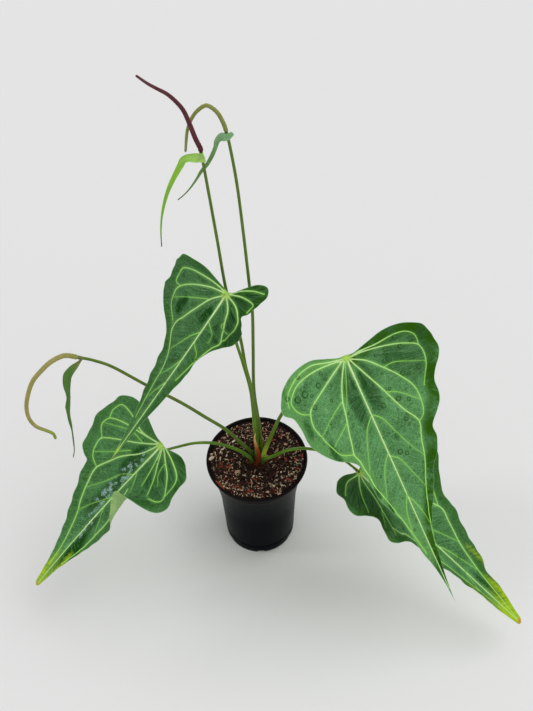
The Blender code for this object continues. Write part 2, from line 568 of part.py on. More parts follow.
class BladeSurface:
    """The surface that carries a leaf: places on the flat leaf turned into places in space."""

    def __init__(self, leaf):
        self.leaf = leaf
        t = np.linspace(0, 1, 400)[:, None]
        base, bend, tip = (np.array(point, float) for point in (leaf.base, leaf.bend, leaf.tip))
        self.midrib = (1 - t) ** 2 * base + 2 * t * (1 - t) * bend + t ** 2 * tip
        steps = np.linalg.norm(np.diff(self.midrib, axis=0), axis=1)
        self.reach = np.concatenate([[0], np.cumsum(steps)])
        self.length = self.reach[-1]
        self.veins = {1: [smooth_route(vein, VEIN_STEP) for vein in leaf.left_veins],
                      -1: [smooth_route(vein, VEIN_STEP) for vein in leaf.right_veins]}

    def midrib_point(self, along):
        """Return the midrib's place at each distance along it."""
        return np.stack([np.interp(along, self.reach, self.midrib[:, axis]) for axis in range(3)], axis=-1)

    def vein_distance(self, along, across, side):
        """Return the distance of each flat place from the nearest vein on its side."""
        place = np.stack([along, across], axis=-1)
        nearest = across.copy()
        for vein in self.veins[side]:
            for start, end in zip(vein, vein[1:]):
                nearest = np.minimum(nearest, segment_distance(place, start, end))
        return nearest

    def frame(self, along):
        """Return the directions along the midrib, to its left and out of the leaf at each distance."""
        inside = np.clip(along, 0, self.length)
        ahead = self.midrib_point(np.clip(inside + 2, 0, self.length))
        tangent = ahead - self.midrib_point(np.clip(inside - 2, 0, self.length))
        tangent /= np.linalg.norm(tangent, axis=-1, keepdims=True)
        sideways = np.cross(tangent, [0.0, 0.0, 1.0])
        sideways /= np.linalg.norm(sideways, axis=-1, keepdims=True)
        return tangent, sideways, np.cross(sideways, tangent)

    def seat(self, along, lean, pitch, distance):
        """Return the last two places of a petiole that ends under the midrib."""
        place = np.array([along])
        tangent, sideways, normal = (direction[0] for direction in self.frame(place))
        lean, pitch = math.radians(lean), math.radians(pitch)
        under = -normal * math.cos(lean) * math.cos(pitch) + sideways * math.sin(lean) - tangent * math.sin(pitch)
        start = self.place(place, np.zeros(1), 1)[0] - normal * BLADE_THICKNESS / 2
        return start + under * (distance + SEAT_RUN), start + under * distance

    def place(self, along, across, side):
        """Return places in space for flat places on one half, which is 1 for left and -1 for right."""
        leaf = self.leaf
        inside = np.clip(along, 0, self.length)
        tangent, sideways, normal = self.frame(along)
        fold = np.radians(eased(along, leaf.left_fold if side > 0 else leaf.right_fold))
        rounding = MIDRIB_ROUNDING * (1 - np.exp(-across / MIDRIB_ROUNDING))
        out = across * np.cos(fold) + (1 - np.cos(fold)) * rounding
        up = np.sin(fold) * (across - rounding)
        if side < 0:
            curl = np.maximum(np.radians(eased(along, leaf.right_curl)), 0.00001)
            beyond = np.maximum(across - 18.0, 0)
            out += (np.sin(fold + curl * beyond) - np.sin(fold)) / curl - beyond * np.cos(fold)
            up += (np.cos(fold) - np.cos(fold + curl * beyond)) / curl - beyond * np.sin(fold)
        wave = np.sin(2 * math.pi * along / WAVE_LENGTH + leaf.wave_phase + (1.7 if side < 0 else 0))
        up += WAVE_HEIGHT * (across / WAVE_REACH) ** 2 * wave
        up -= VEIN_DEPTH * np.exp(-(self.vein_distance(along, across, side) / VEIN_SPREAD) ** 2)
        start = self.midrib_point(inside) + (along - inside)[:, None] * tangent
        return start + out[:, None] * side * sideways + up[:, None] * normal


def segment_distance(place, start, end):
    """Return the distance of each flat place from a straight segment."""
    run = end - start
    t = np.clip(((place - start) @ run) / (run @ run), 0, 1)
    return np.linalg.norm(place - start - t[:, None] * run, axis=-1)


def build_blade(leaf, parts):
    """Make one leaf blade: its flat outline filled with triangles, laid on its surface and thickened."""
    surface = BladeSurface(leaf)
    length = surface.length
    left = smooth_route(((-3, 0), *leaf.left_margin, (length, 0)), MARGIN_STEP)
    right = smooth_route(((-3, 0), *leaf.right_margin, (length, 0)), MARGIN_STEP)
    outline = np.concatenate([left, (right * (1, -1))[-2:0:-1]])
    midrib = [(along, 0.0) for along in np.arange(0.0, length - 4, VEIN_STEP)]
    chains = [np.array(midrib)]
    chains += [vein * (1, side) for side in (1, -1) for vein in surface.veins[side]]
    points = [tuple(point) for point in outline]
    edges = [(index, (index + 1) % len(outline)) for index in range(len(outline))]
    for chain in chains:
        first = len(points)
        points += [tuple(point) for point in chain]
        edges += [(index, index + 1) for index in range(first, len(points) - 1)]
    walls = [(points[start], points[end]) for start, end in edges]
    row = 0
    for along in np.arange(-20.0, length, FILL_STEP * 0.87):
        row += 1
        shift = FILL_STEP / 2 if row % 2 else 0.0
        for across in np.arange(-100.0 + shift, 100.0, FILL_STEP):
            place = np.array([[along, across]])
            gap = min(segment_distance(place, np.array(start), np.array(end))[0] for start, end in walls)
            if gap > FILL_CLEARANCE:
                points.append((along, across))
    flat = [Vector(point) for point in points]
    verts, _, faces, _, _, _ = delaunay_2d_cdt(flat, edges, [list(range(len(outline)))], 1, 0.001)
    along = np.array([vert.x for vert in verts])
    across = np.array([vert.y for vert in verts])
    places = np.where((across >= 0)[:, None], surface.place(along, np.abs(across), 1),
                      surface.place(along, np.abs(across), -1))
    bm = bmesh.new()
    made = [bm.verts.new(Vector(place) * MM) for place in places]
    for face in faces:
        bm.faces.new([made[index] for index in reversed(face)])
    bmesh.ops.delete(bm, geom=[vert for vert in bm.verts if not vert.link_faces], context="VERTS")
    blade = add_object(leaf.name, mesh_from_bmesh(leaf.name, bm, 60), parts, LEAF_GREEN, 0.35)
    thicken = blade.modifiers.new("Thickness", "SOLIDIFY")
    thicken.thickness = BLADE_THICKNESS * MM
    thicken.offset = -1
    return blade


def main():
    """Build every piece of the plant and its pot."""
    clear_scene()
    parts = new_collection("potted_anthurium")
    cutters = new_collection("cutters")
    build_pot(parts, cutters)
    build_soil(parts)
    build_stem(parts)
    for leaf in LEAVES:
        build_blade(leaf, parts)
    surfaces = {leaf.name: BladeSurface(leaf) for leaf in LEAVES}
    ends = {}
    for name, colour, foot, top, (start, *route) in STALKS:
        upright = [(*start, STEM_TOP + GAP), (*start, STEM_TOP + GAP + FOOT_RUN)]
        if name in SEATS:
            blade, *seat = SEATS[name]
            route += surfaces[blade].seat(*seat)
        build_stalk(name, colour, foot, top, upright + route, parts)
        ends[name] = (np.array(route[-1], float), unit(np.subtract(route[-1], route[-2])), top)
    for name, stalk, colour, foot, tip, route in SPADICES:
        place, along, _ = ends[stalk]
        build_spadix(name, colour, foot, tip, (place + along * GAP, place + along * 4, *route), parts)
    for name, stalk, colour, start, route, half_widths, channel in STRAPS:
        if stalk:
            place, along, radius = ends[stalk]
            out = unit(STRAP_FACING - along * np.dot(STRAP_FACING, along))
            clasp = place - along * STRAP_DROP + out * (radius + STRAP_THICKNESS / 2 + GAP)
            build_strap(name, colour, (clasp + start, clasp, *route), half_widths, channel, out, parts)
        else:
            build_strap(name, colour, (start, *route), half_widths, channel, STRAP_FACING, parts)


main()
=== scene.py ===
"""The looks of a potted anthurium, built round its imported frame.

Sizes are in millimetres and are turned into metres as each mesh is made. The plant stands on z = 0 with its
pot centred on the Z axis. A leaf is described flat, as (distance along its midrib, distance to its left), and
then laid on a curved surface in space.
"""
import logging
import math
import random
from dataclasses import dataclass
from enum import Enum

import bmesh
import bpy
import numpy as np
from mathutils import Matrix, Vector, noise
from mathutils.geometry import delaunay_2d_cdt


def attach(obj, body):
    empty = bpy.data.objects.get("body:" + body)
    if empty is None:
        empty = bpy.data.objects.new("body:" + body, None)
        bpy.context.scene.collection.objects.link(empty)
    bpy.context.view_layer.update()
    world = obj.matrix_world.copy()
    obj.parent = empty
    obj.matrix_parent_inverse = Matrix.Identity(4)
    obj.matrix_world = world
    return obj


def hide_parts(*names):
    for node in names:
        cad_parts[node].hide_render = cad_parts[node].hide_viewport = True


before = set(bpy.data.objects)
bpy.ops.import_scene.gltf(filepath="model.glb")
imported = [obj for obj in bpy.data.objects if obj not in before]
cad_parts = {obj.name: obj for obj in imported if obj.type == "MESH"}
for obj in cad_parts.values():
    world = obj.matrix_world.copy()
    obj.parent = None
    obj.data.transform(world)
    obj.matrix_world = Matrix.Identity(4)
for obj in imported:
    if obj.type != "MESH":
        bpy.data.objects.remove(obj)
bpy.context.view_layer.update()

MM = 0.001
BODY = "root"
SOIL_TOP = 147.0
LOG = logging.getLogger("anthurium")

Array = np.ndarray
Material = bpy.types.Material
Socket = bpy.types.NodeSocket
Colour = tuple[float, float, float]
Pair = tuple[float, float]
Place = tuple[float, float, float]
Route = tuple[tuple[float, ...], ...]


class Slot(Enum):
    """The record's material slots."""

    POT = "pot"
    SOIL = "soil"
    STEM = "stem"
    SHEATH = "cataphyll"
    BLADE = "leaf_blade"
    PETIOLE = "petiole"
    PEDUNCLE = "peduncle"
    SPADIX_MAROON = "spadix_maroon"
    SPADIX_OLIVE = "spadix_olive"
    SPADIX_BROWN = "spadix_brown"
    SPATHE_LIGHT = "spathe_light"
    SPATHE = "spathe"


def rgb(red: int, green: int, blue: int) -> Colour:
    """Return a screen colour, each part from 0 to 255, as the linear values that a shader takes."""
    shares = (value / 255.0 for value in (red, green, blue))
    return tuple(v / 12.92 if v <= 0.04045 else ((v + 0.055) / 1.055) ** 2.4 for v in shares)


def unit(vector: Array) -> Array:
    """Return vectors of length 1 in the same directions."""
    vector = np.asarray(vector, float)
    return vector / np.linalg.norm(vector, axis=-1, keepdims=True)


def ease(value: Array | float, start: float, end: float) -> Array:
    """Return a share that rises smoothly from 0 at the start to 1 at the end, which may be below it."""
    t = np.clip((np.asarray(value, float) - start) / (end - start), 0, 1)
    return t * t * (3 - 2 * t)


def eased(position: Array, knots: Route) -> Array:
    """Read a curve that is eased between its knots.

    Args:
        position: where to read the curve.
        knots: (position, value) pairs in order.

    Returns:
        The curve's value at each position.
    """
    places, values = np.array(knots, float).T
    index = np.clip(np.searchsorted(places, position) - 1, 0, len(places) - 2)
    t = np.clip((position - places[index]) / (places[index + 1] - places[index]), 0, 1)
    return values[index] + (values[index + 1] - values[index]) * t * t * (3 - 2 * t)


def smooth_route(points: Route | Array, step: float) -> Array:
    """Lay a Catmull-Rom curve through points.

    Args:
        points: the places that the curve passes through.
        step: the rough distance between the places returned.

    Returns:
        Places along the curve, one row each.
    """
    knots = [np.array(point, float) for point in points]
    knots = [2 * knots[0] - knots[1]] + knots + [2 * knots[-1] - knots[-2]]
    route = []
    for before, start, end, after in zip(knots, knots[1:], knots[2:], knots[3:]):
        t = np.arange(max(1, round(np.linalg.norm(end - start) / step)))[:, None]
        t = t / len(t)
        bend, twist = 2 * before - 5 * start + 4 * end - after, 3 * start - before - 3 * end + after
        route.append(0.5 * (2 * start + (end - before) * t + bend * t ** 2 + twist * t ** 3))
    return np.concatenate([*route, knots[-2][None]])


def reach_of(route: Array) -> Array:
    """Return the distance walked along a route at each of its places."""
    return np.concatenate([[0.0], np.cumsum(np.linalg.norm(np.diff(route, axis=0), axis=1))])


def waves(places: Array, seed: int, length: float) -> Array:
    """Return soft random values of about -1 to 1 at places, with swells of a length in millimetres."""
    shift = Vector((17.3 * seed, -9.1 * seed, 5.7 * seed))
    return np.array([noise.noise(Vector(place) / length + shift) for place in np.asarray(places, float)])


def linked(name: str, data: bpy.types.ID) -> bpy.types.Object:
    """Put a new object in the scene.

    Args:
        name: its name.
        data: its mesh, light or camera.

    Returns:
        The new object.
    """
    item = bpy.data.objects.new(name, data)
    bpy.context.scene.collection.objects.link(item)
    return item


class Graph:
    """Short calls for filling a shader node tree."""

    def __init__(self, tree: bpy.types.NodeTree) -> None:
        """Keep the tree that the other calls fill."""
        self.tree = tree

    def add(self, kind: str, inputs: dict | None = None, **settings: object) -> bpy.types.Node:
        """Add a shader node.

        Args:
            kind: the node's type without its ShaderNode prefix.
            inputs: a value or another node's output for inputs by name or place.
            **settings: the node's own settings.

        Returns:
            The new node.
        """
        node = self.tree.nodes.new("ShaderNode" + kind)
        for name, value in settings.items():
            setattr(node, name, value)
        for name, value in (inputs or {}).items():
            self.feed(node.inputs[name], value)
        return node

    def feed(self, socket: Socket, value: object) -> None:
        """Link an output to a socket, or set the socket's own value.

        Args:
            socket: the input to feed.
            value: a Number, a node's output or a plain value.
        """
        value = value.socket if isinstance(value, Number) else value
        if isinstance(value, Socket):
            self.tree.links.new(value, socket)
        else:
            socket.default_value = (*value, 1.0) if socket.type == "RGBA" and len(value) == 3 else value

    def math(self, operation: str, first: object, second: object) -> "Number":
        """Return two numbers combined by one of the Math node's operations."""
        return Number(self, self.add("Math", {0: first, 1: second}, operation=operation).outputs[0])


class Number:
    """A number that changes over a surface, used with the plain signs of arithmetic."""

    def __init__(self, graph: Graph, socket: Socket) -> None:
        """Keep the output that gives the number, and its graph."""
        self.graph = graph
        self.socket = socket

    def __add__(self, other: object) -> "Number":
        """Return the sum."""
        return self.graph.math("ADD", self, other)

    def __sub__(self, other: object) -> "Number":
        """Return what is left when the other is taken away."""
        return self.graph.math("SUBTRACT", self, other)

    def __rsub__(self, other: object) -> "Number":
        """Return what is left of the other when this is taken away."""
        return self.graph.math("SUBTRACT", other, self)

    def __mul__(self, other: object) -> "Number":
        """Return the product."""
        return self.graph.math("MULTIPLY", self, other)

    def __truediv__(self, other: object) -> "Number":
        """Return the quotient."""
        return self.graph.math("DIVIDE", self, other)

    def over(self, other: object) -> "Number":
        """Return the higher of the two."""
        return self.graph.math("MAXIMUM", self, other)

    def held(self) -> "Number":
        """Keep this result from 0 to 1."""
        self.socket.node.use_clamp = True
        return self

    def rise(self, start: float, end: float, top: float = 1.0) -> "Number":
        """Return a number that rises smoothly with this one, from 0 at the start to the top at the end."""
        node = self.graph.add("MapRange", {"Value": self, "From Min": start, "From Max": end, "To Max": top},
                              interpolation_type="SMOOTHSTEP")
        return Number(self.graph, node.outputs["Result"])


class Effect(Enum):
    """The effects that finishes share, each a node group, with its number inputs and their usual values."""

    MOTTLE = {"Scale": 1.0, "Sharpness": 2.0}
    NETWORK = {"Scale": 1.0, "Width": 0.08}
    STREAKS = {"Scale": 1.0, "Stretch": 0.05, "Sharpness": 2.0}
    SPECKS = {"Scale": 1.0, "Size": 0.3, "Share": 0.5}


class EffectGroup(Graph):
    """The node group of one effect."""

    def __init__(self, effect: Effect) -> None:
        """Make the group with its named sockets, and fill it.

        Args:
            effect: the effect that the group makes.
        """
        super().__init__(bpy.data.node_groups.new(effect.name.lower(), "ShaderNodeTree"))
        sockets = self.tree.interface
        sockets.new_socket(name="Vector", in_out="INPUT", socket_type="NodeSocketVector")
        for name, usual in effect.value.items():
            sockets.new_socket(name=name, in_out="INPUT", socket_type="NodeSocketFloat").default_value = usual
        sockets.new_socket(name="Mask", in_out="OUTPUT", socket_type="NodeSocketFloat")
        source = self.tree.nodes.new("NodeGroupInput").outputs
        self.vector = source["Vector"]
        self.scale = source["Scale"]
        fill = {Effect.MOTTLE: self.mottle, Effect.NETWORK: self.network,
                Effect.STREAKS: self.streaks, Effect.SPECKS: self.specks}[effect]
        mask = fill(*(Number(self, source[name]) for name in list(effect.value)[1:]))
        self.feed(self.tree.nodes.new("NodeGroupOutput").inputs["Mask"], mask)

    def cloud(self, vector: Socket, sharpness: Number, **settings: float) -> Number:
        """Return cloudy noise, spread about its middle and kept from 0 to 1."""
        noise_node = self.add("TexNoise", {"Vector": vector, "Scale": self.scale, **settings})
        return ((Number(self, noise_node.outputs["Fac"]) - 0.5) * sharpness + 0.5).held()

    def mottle(self, sharpness: Number) -> Number:
        """Return soft cloudy patches."""
        return self.cloud(self.vector, sharpness, Detail=4.0, Roughness=0.55)

    def network(self, width: Number) -> Number:
        """Make a net of fine lines round uneven cells.

        Args:
            width: how wide the lines are beside the cells.

        Returns:
            The lines' mask.
        """
        bend = self.add("TexNoise", {"Vector": self.vector, "Scale": self.scale, "Detail": 2.0})
        reach = self.math("DIVIDE", 0.7, self.scale)
        shift = self.add("VectorMath", {0: bend.outputs["Color"], "Scale": reach}, operation="SCALE")
        moved = self.add("VectorMath", {0: self.vector, 1: shift.outputs["Vector"]}, operation="ADD")
        cells = self.add("TexVoronoi", {"Vector": moved.outputs["Vector"], "Scale": self.scale},
                         feature="DISTANCE_TO_EDGE")
        return 1.0 - (Number(self, cells.outputs["Distance"]) / width).held()

    def streaks(self, stretch: Number, sharpness: Number) -> Number:
        """Draw long thin fibres along the vector's third axis.

        Args:
            stretch: how much slower they change along it.
            sharpness: how hard their edges are.

        Returns:
            The fibres' mask.
        """
        x, y, z = self.add("SeparateXYZ", {"Vector": self.vector}).outputs
        drawn = self.add("CombineXYZ", {"X": x, "Y": y, "Z": Number(self, z) * stretch})
        return self.cloud(drawn.outputs["Vector"], sharpness, Detail=3.0)

    def specks(self, size: Number, share: Number) -> Number:
        """Scatter round dots over cells.

        Args:
            size: the dots' size beside the cells.
            share: how many of the cells hold a dot.

        Returns:
            The dots' mask.
        """
        cells = self.add("TexVoronoi", {"Vector": self.vector, "Scale": self.scale})
        chance = self.add("SeparateColor", {"Color": cells.outputs["Color"]}).outputs["Red"]
        near = (Number(self, cells.outputs["Distance"]) / size).held()
        return (1.0 - near) * self.math("LESS_THAN", chance, share)


GROUPS: dict[Effect, EffectGroup] = {}


class Surface(Graph):
    """A material with one Principled shader, coloured in layers."""

    def __init__(self, name: str, ground: Colour, **constants: float) -> None:
        """Make the material.

        Args:
            name: the material's name.
            ground: the colour under every layer.
            **constants: shader inputs that are the same all over, with _ for each space in a name.
        """
        self.material = bpy.data.materials.new(name)
        self.material.use_nodes = True
        super().__init__(self.material.node_tree)
        self.shader = self.tree.nodes["Principled BSDF"].inputs
        self.colour: object = ground
        for key, value in constants.items():
            self.feed(self.shader[key.replace("_", " ")], value)

    def value(self, name: str) -> Number:
        """Return the number that a mesh holds under a name."""
        return Number(self, self.add("Attribute", attribute_name=name).outputs["Fac"])

    def mask(self, effect: Effect, *settings: float, place: str = "grain") -> Number:
        """Place an effect, which is built the first time.

        Args:
            effect: the effect.
            *settings: its group's numbers for this finish, in order.
            place: the name of the mesh's vector that it follows.

        Returns:
            The effect's mask, from 0 to 1.
        """
        if effect not in GROUPS:
            GROUPS[effect] = EffectGroup(effect)
        node = self.tree.nodes.new("ShaderNodeGroup")
        node.node_tree = GROUPS[effect].tree
        vector = self.add("Attribute", attribute_name=place).outputs["Vector"]
        for socket, given in zip(node.inputs, (vector, *settings)):
            self.feed(socket, given)
        return Number(self, node.outputs["Mask"])

    def mixed(self, share: object, first: object, second: object) -> Socket:
        """Mix two colours.

        Args:
            share: how much of the second colour shows.
            first: the colour at share 0.
            second: the colour at share 1.

        Returns:
            The mixed colour.
        """
        node = self.add("Mix", data_type="RGBA")
        enabled = (socket for socket in node.inputs if socket.enabled)
        for socket, given in zip(enabled, (share, first, second)):
            self.feed(socket, given)
        return next(socket for socket in node.outputs if socket.enabled)

    def lay(self, share: object, colour: object) -> None:
        """Lay a colour over those below it, where its share shows."""
        self.colour = self.mixed(share, self.colour, colour)

    def dress(self, roughness: object, height: Number | None = None, depth: float = 0.1,
              **others: Number) -> Material:
        """Feed the shader.

        Args:
            roughness: the roughness.
            height: the bump's height from 0 to 1, if it has one.
            depth: the bump's depth in millimetres.
            **others: other inputs that change over the surface, with _ for each space in a name.

        Returns:
            The finished material.
        """
        if height is not None:
            others["Normal"] = self.add("Bump", {"Height": height, "Distance": depth * MM}).outputs["Normal"]
        for name, given in {"Base Color": self.colour, "Roughness": roughness, **others}.items():
            self.feed(self.shader[name.replace("_", " ")], given)
        return self.material


@dataclass(frozen=True)
class BladeFinish:
    """The upper skin of a leaf: green between pale veins, darker at its rim (partly painted shade), with
    painted shade, painted glints and painted dark rings under drops, yellow and brown at its tip.
    """

    name: str = "blade_upper_skin"
    inner: Colour = rgb(108, 174, 106)
    deep: Colour = rgb(14, 62, 14)
    streak: Colour = rgb(146, 208, 134)
    rim: Colour = rgb(46, 96, 0)
    pale_rim: Colour = rgb(112, 172, 84)
    # Dark green of wet skin, partly painted shade: used for dark patches, between the painted glints and in
    # rings under drops.
    damp: Colour = rgb(14, 72, 6)
    vein: Colour = rgb(228, 255, 190)
    side_vein: Colour = rgb(158, 232, 104)
    joint: Colour = rgb(190, 236, 104)
    yellow: Colour = rgb(176, 210, 32)
    brown: Colour = rgb(220, 134, 64)
    glint: Colour = rgb(178, 216, 214)

    def material(self) -> Material:
        """Colour the upper skin.

        Returns:
            The finished material.
        """
        skin = Surface(self.name, self.deep, Coat_Roughness=0.16, Specular_IOR_Level=0.06)
        gap, strength, wet, dark, rim = (
            skin.value(name) for name in ("vein_gap", "vein_strength", "wet", "dark", "rim_dark"))
        patches = skin.mask(Effect.MOTTLE, 0.05, 2.6)
        fine = skin.mask(Effect.MOTTLE, 0.8, 3.0)
        ripples = skin.mask(Effect.MOTTLE, 0.15, 6.0)
        weft = skin.mask(Effect.MOTTLE, 0.6, 3.2, place="weft")
        net = skin.mask(Effect.NETWORK, 0.2, 0.08)
        cells = skin.mask(Effect.NETWORK, 0.7, 0.12)
        skin.lay((patches * 0.36 + weft * 0.22 + fine * 0.5).held(), self.inner)
        for mask, share in ((net, 0.42), (cells, 0.22), (skin.mask(Effect.SPECKS, 0.85, 0.42, 0.4), 0.4)):
            skin.lay(mask * share, self.streak)
        skin.lay((skin.value("shade") * (1.15 - weft * 0.5)).held(), self.deep)
        skin.lay(skin.value("rim_pale") * 0.55, self.pale_rim)
        skin.lay(gap.rise(3.2, 0.0, 0.34) * strength, self.side_vein)
        broken = weft * 0.5 + fine * 0.5
        # Darker margin band: partly the leaf's own colour, partly painted shade where the margin folds down.
        skin.lay(rim * (patches * 0.8 + broken * 0.5).rise(0.2, 0.76), self.rim)
        # Wet skin and painted shade together: dark patches, the dark between painted glints and the rings
        # under drops.
        damp = (dark * broken.rise(0.15, 0.4)).over(wet * ripples.rise(0.56, 0.3, 0.75))
        skin.lay(damp.over(skin.value("damp")), self.damp)
        skin.lay((skin.value("yellow") * (weft + 0.75)).held(), self.yellow)
        vein = skin.mixed(strength.rise(0.45, 1.0), self.side_vein, self.vein)
        skin.lay(gap.rise(0.5, -0.1) * strength.rise(0.0, 0.7), vein)
        skin.lay(skin.value("joint"), self.joint)
        skin.lay(skin.value("brown"), self.brown)
        skin.lay(skin.value("margin").rise(0.8, 0.1, 0.5), self.streak)
        film = wet * fine.rise(0.3, 0.6)
        glint = wet * (ripples.rise(0.56, 0.86) * fine.rise(0.32, 0.6, 0.95))
        skin.lay(glint * gap.rise(0.2, 1.2), self.glint)
        sheen = (1.0 - rim.over(dark)) * weft.rise(0.3, 1.0, 0.16)
        return skin.dress(patches * 0.08 + 0.4 - film * 0.26, cells * -0.4 + net * -0.7 + broken * 0.9, 0.4,
                          Coat_Weight=(film * 0.9).over(sheen))


@dataclass(frozen=True)
class BladeBackFinish:
    """The under skin of a leaf: paler, duller and warmer, with raised veins."""

    name: str = "blade_under_skin"
    body: Colour = rgb(166, 202, 128)
    deep: Colour = rgb(126, 168, 92)
    vein: Colour = rgb(200, 226, 158)
    yellow: Colour = rgb(196, 206, 96)
    brown: Colour = rgb(200, 150, 96)

    def material(self) -> Material:
        """Colour the under skin.

        Returns:
            The finished material.
        """
        skin = Surface(self.name, self.deep, Specular_IOR_Level=0.25)
        patches = skin.mask(Effect.MOTTLE, 0.08, 2.0)
        net = skin.mask(Effect.NETWORK, 0.3, 0.14)
        skin.lay(patches, self.body)
        skin.lay(skin.mask(Effect.MOTTLE, 0.42, 3.0, place="weft") * 0.4, self.deep)
        skin.lay(net * 0.4, self.vein)
        skin.lay(skin.value("yellow"), self.yellow)
        skin.lay(skin.value("vein_gap").rise(0.6, -0.4) * skin.value("vein_strength"), self.vein)
        skin.lay(skin.value("joint"), self.vein)
        skin.lay(skin.value("brown"), self.brown)
        return skin.dress(patches * 0.1 + 0.52, net, 0.2)


@dataclass(frozen=True)
class StalkFinish:
    """The skin of a stalk: green fibres along it, a foot colour that is a paler sheath on some stalks and
    painted shade on others, and a paler joint at its top.
    """

    name: str
    light: Colour
    deep: Colour
    foot: Colour
    top: Colour
    roughness: float = 0.36

    def material(self) -> Material:
        """Colour the stalk.

        Returns:
            The finished material.
        """
        skin = Surface(self.name, self.deep, Specular_IOR_Level=0.2)
        fibres = skin.mask(Effect.STREAKS, 1.6, 0.03, 2.4)
        patches = skin.mask(Effect.MOTTLE, 0.09, 2.0)
        specks = skin.mask(Effect.SPECKS, 0.9, 0.45, 0.3)
        skin.lay(fibres, self.light)
        skin.lay(patches * 0.5, self.deep)
        # The foot colour: paler on a sheathed stalk, darker as painted shade where other stalks meet the
        # soil.
        skin.lay(skin.value("foot"), self.foot)
        skin.lay(skin.value("top"), self.top)
        skin.lay(specks * 0.25, self.top)
        return skin.dress(patches * 0.12 + self.roughness, fibres - specks * 0.5, 0.08)


@dataclass(frozen=True)
class SpadixFinish:
    """The skin of a flower spike: florets with darker creases, shading from foot to tip."""

    name: str
    floret: Colour
    patch: Colour
    crease: Colour
    tip: Colour

    def material(self) -> Material:
        """Colour the spike.

        Returns:
            The finished material.
        """
        skin = Surface(self.name, self.floret, Specular_IOR_Level=0.16)
        fine = skin.mask(Effect.MOTTLE, 1.4, 1.8)
        raised = skin.value("floret")
        skin.lay(skin.mask(Effect.MOTTLE, 0.16, 3.0), self.patch)
        skin.lay(raised.rise(0.5, 0.05, 0.85), self.crease)
        skin.lay(raised.rise(0.86, 0.98, 0.5), self.patch)
        skin.lay(skin.value("top"), self.tip)
        return skin.dress(fine * 0.15 + 0.5, fine)


@dataclass(frozen=True)
class StrapFinish:
    """The skin of a spathe or sheath: parallel veins, with its own colours at foot, middle and tip."""

    name: str
    foot: Colour
    middle: Colour
    tip: Colour
    vein: Colour
    roughness: float = 0.45
    depth: float = 0.12

    def material(self) -> Material:
        """Colour the strap.

        Returns:
            The finished material.
        """
        skin = Surface(self.name, self.middle, Specular_IOR_Level=0.25)
        fibres = skin.mask(Effect.STREAKS, 1.3, 0.04, 3.2)
        patches = skin.mask(Effect.MOTTLE, 0.16, 2.6)
        skin.lay(skin.value("foot"), self.foot)
        skin.lay(skin.value("top"), self.tip)
        skin.lay(fibres * 0.5, self.vein)
        skin.lay(patches * 0.3, self.vein)
        return skin.dress(patches * 0.12 + self.roughness, fibres, self.depth)


@dataclass(frozen=True)
class PotFinish:
    """Thin black nursery plastic: satin, faintly grained, scuffed, with soil dust near its rim."""

    name: str = "pot_plastic"
    body: Colour = rgb(2, 3, 7)
    worn: Colour = rgb(14, 17, 24)
    dust: Colour = rgb(64, 54, 48)

    def material(self) -> Material:
        """Colour the pot.

        Returns:
            The finished material.
        """
        skin = Surface(self.name, self.body, Specular_IOR_Level=0.02)
        grain = skin.mask(Effect.MOTTLE, 2.4, 1.4)
        scuffs = skin.mask(Effect.MOTTLE, 0.35, 5.0)
        skin.lay(scuffs * 0.16, self.worn)
        skin.lay(grain * 0.14, self.worn)
        skin.lay(skin.value("dust") * (skin.mask(Effect.SPECKS, 0.5, 0.2, 0.3) + grain * 0.4), self.dust)
        return skin.dress(scuffs * 0.06 + 0.3, grain, 0.03)


@dataclass(frozen=True)
class GroundFinish:
    """Soil, bark, roots or stone, in a range from dark to light that each crumb takes a place in."""

    name: str
    dark: Colour
    light: Colour
    scale: float = 1.2
    roughness: float = 0.8
    depth: float = 0.3

    def material(self) -> Material:
        """Colour the ground.

        Returns:
            The finished material.
        """
        skin = Surface(self.name, self.dark, Specular_IOR_Level=0.25)
        fibres = skin.mask(Effect.STREAKS, self.scale, 0.15, 2.4)
        patches = skin.mask(Effect.MOTTLE, self.scale * 0.4, 2.4)
        skin.lay((skin.value("tone") + fibres * 0.35 - patches * 0.25).held(), self.light)
        return skin.dress(patches * 0.1 + self.roughness, fibres, self.depth)


@dataclass(frozen=True)
class WaterFinish:
    """Water in drops: clear over their tops, with a painted dark ring round their edges as the shade of their
    refraction.
    """

    name: str = "water_drops"
    body: Colour = rgb(122, 186, 104)
    edge: Colour = rgb(10, 62, 6)

    def material(self) -> Material:
        """Colour the drops.

        Returns:
            The finished material.
        """
        skin = Surface(self.name, self.body, Specular_IOR_Level=0.35)
        low = skin.value("low")
        # Painted shade: the dark ring round each drop's lower edge, where the drop is least clear.
        skin.lay(low, self.edge)
        return skin.dress(0.04, skin.mask(Effect.MOTTLE, 0.9, 1.5), 0.02, Alpha=low.rise(-0.3, 1.0, 0.6))


@dataclass(frozen=True)
class FloorFinish:
    """A plain pale floor."""

    name: str = "pale_floor"
    colour: Colour = (0.8, 0.8, 0.8)

    def material(self) -> Material:
        """Return the floor's material."""
        return Surface(self.name, self.colour, Specular_IOR_Level=0.0).dress(0.9)


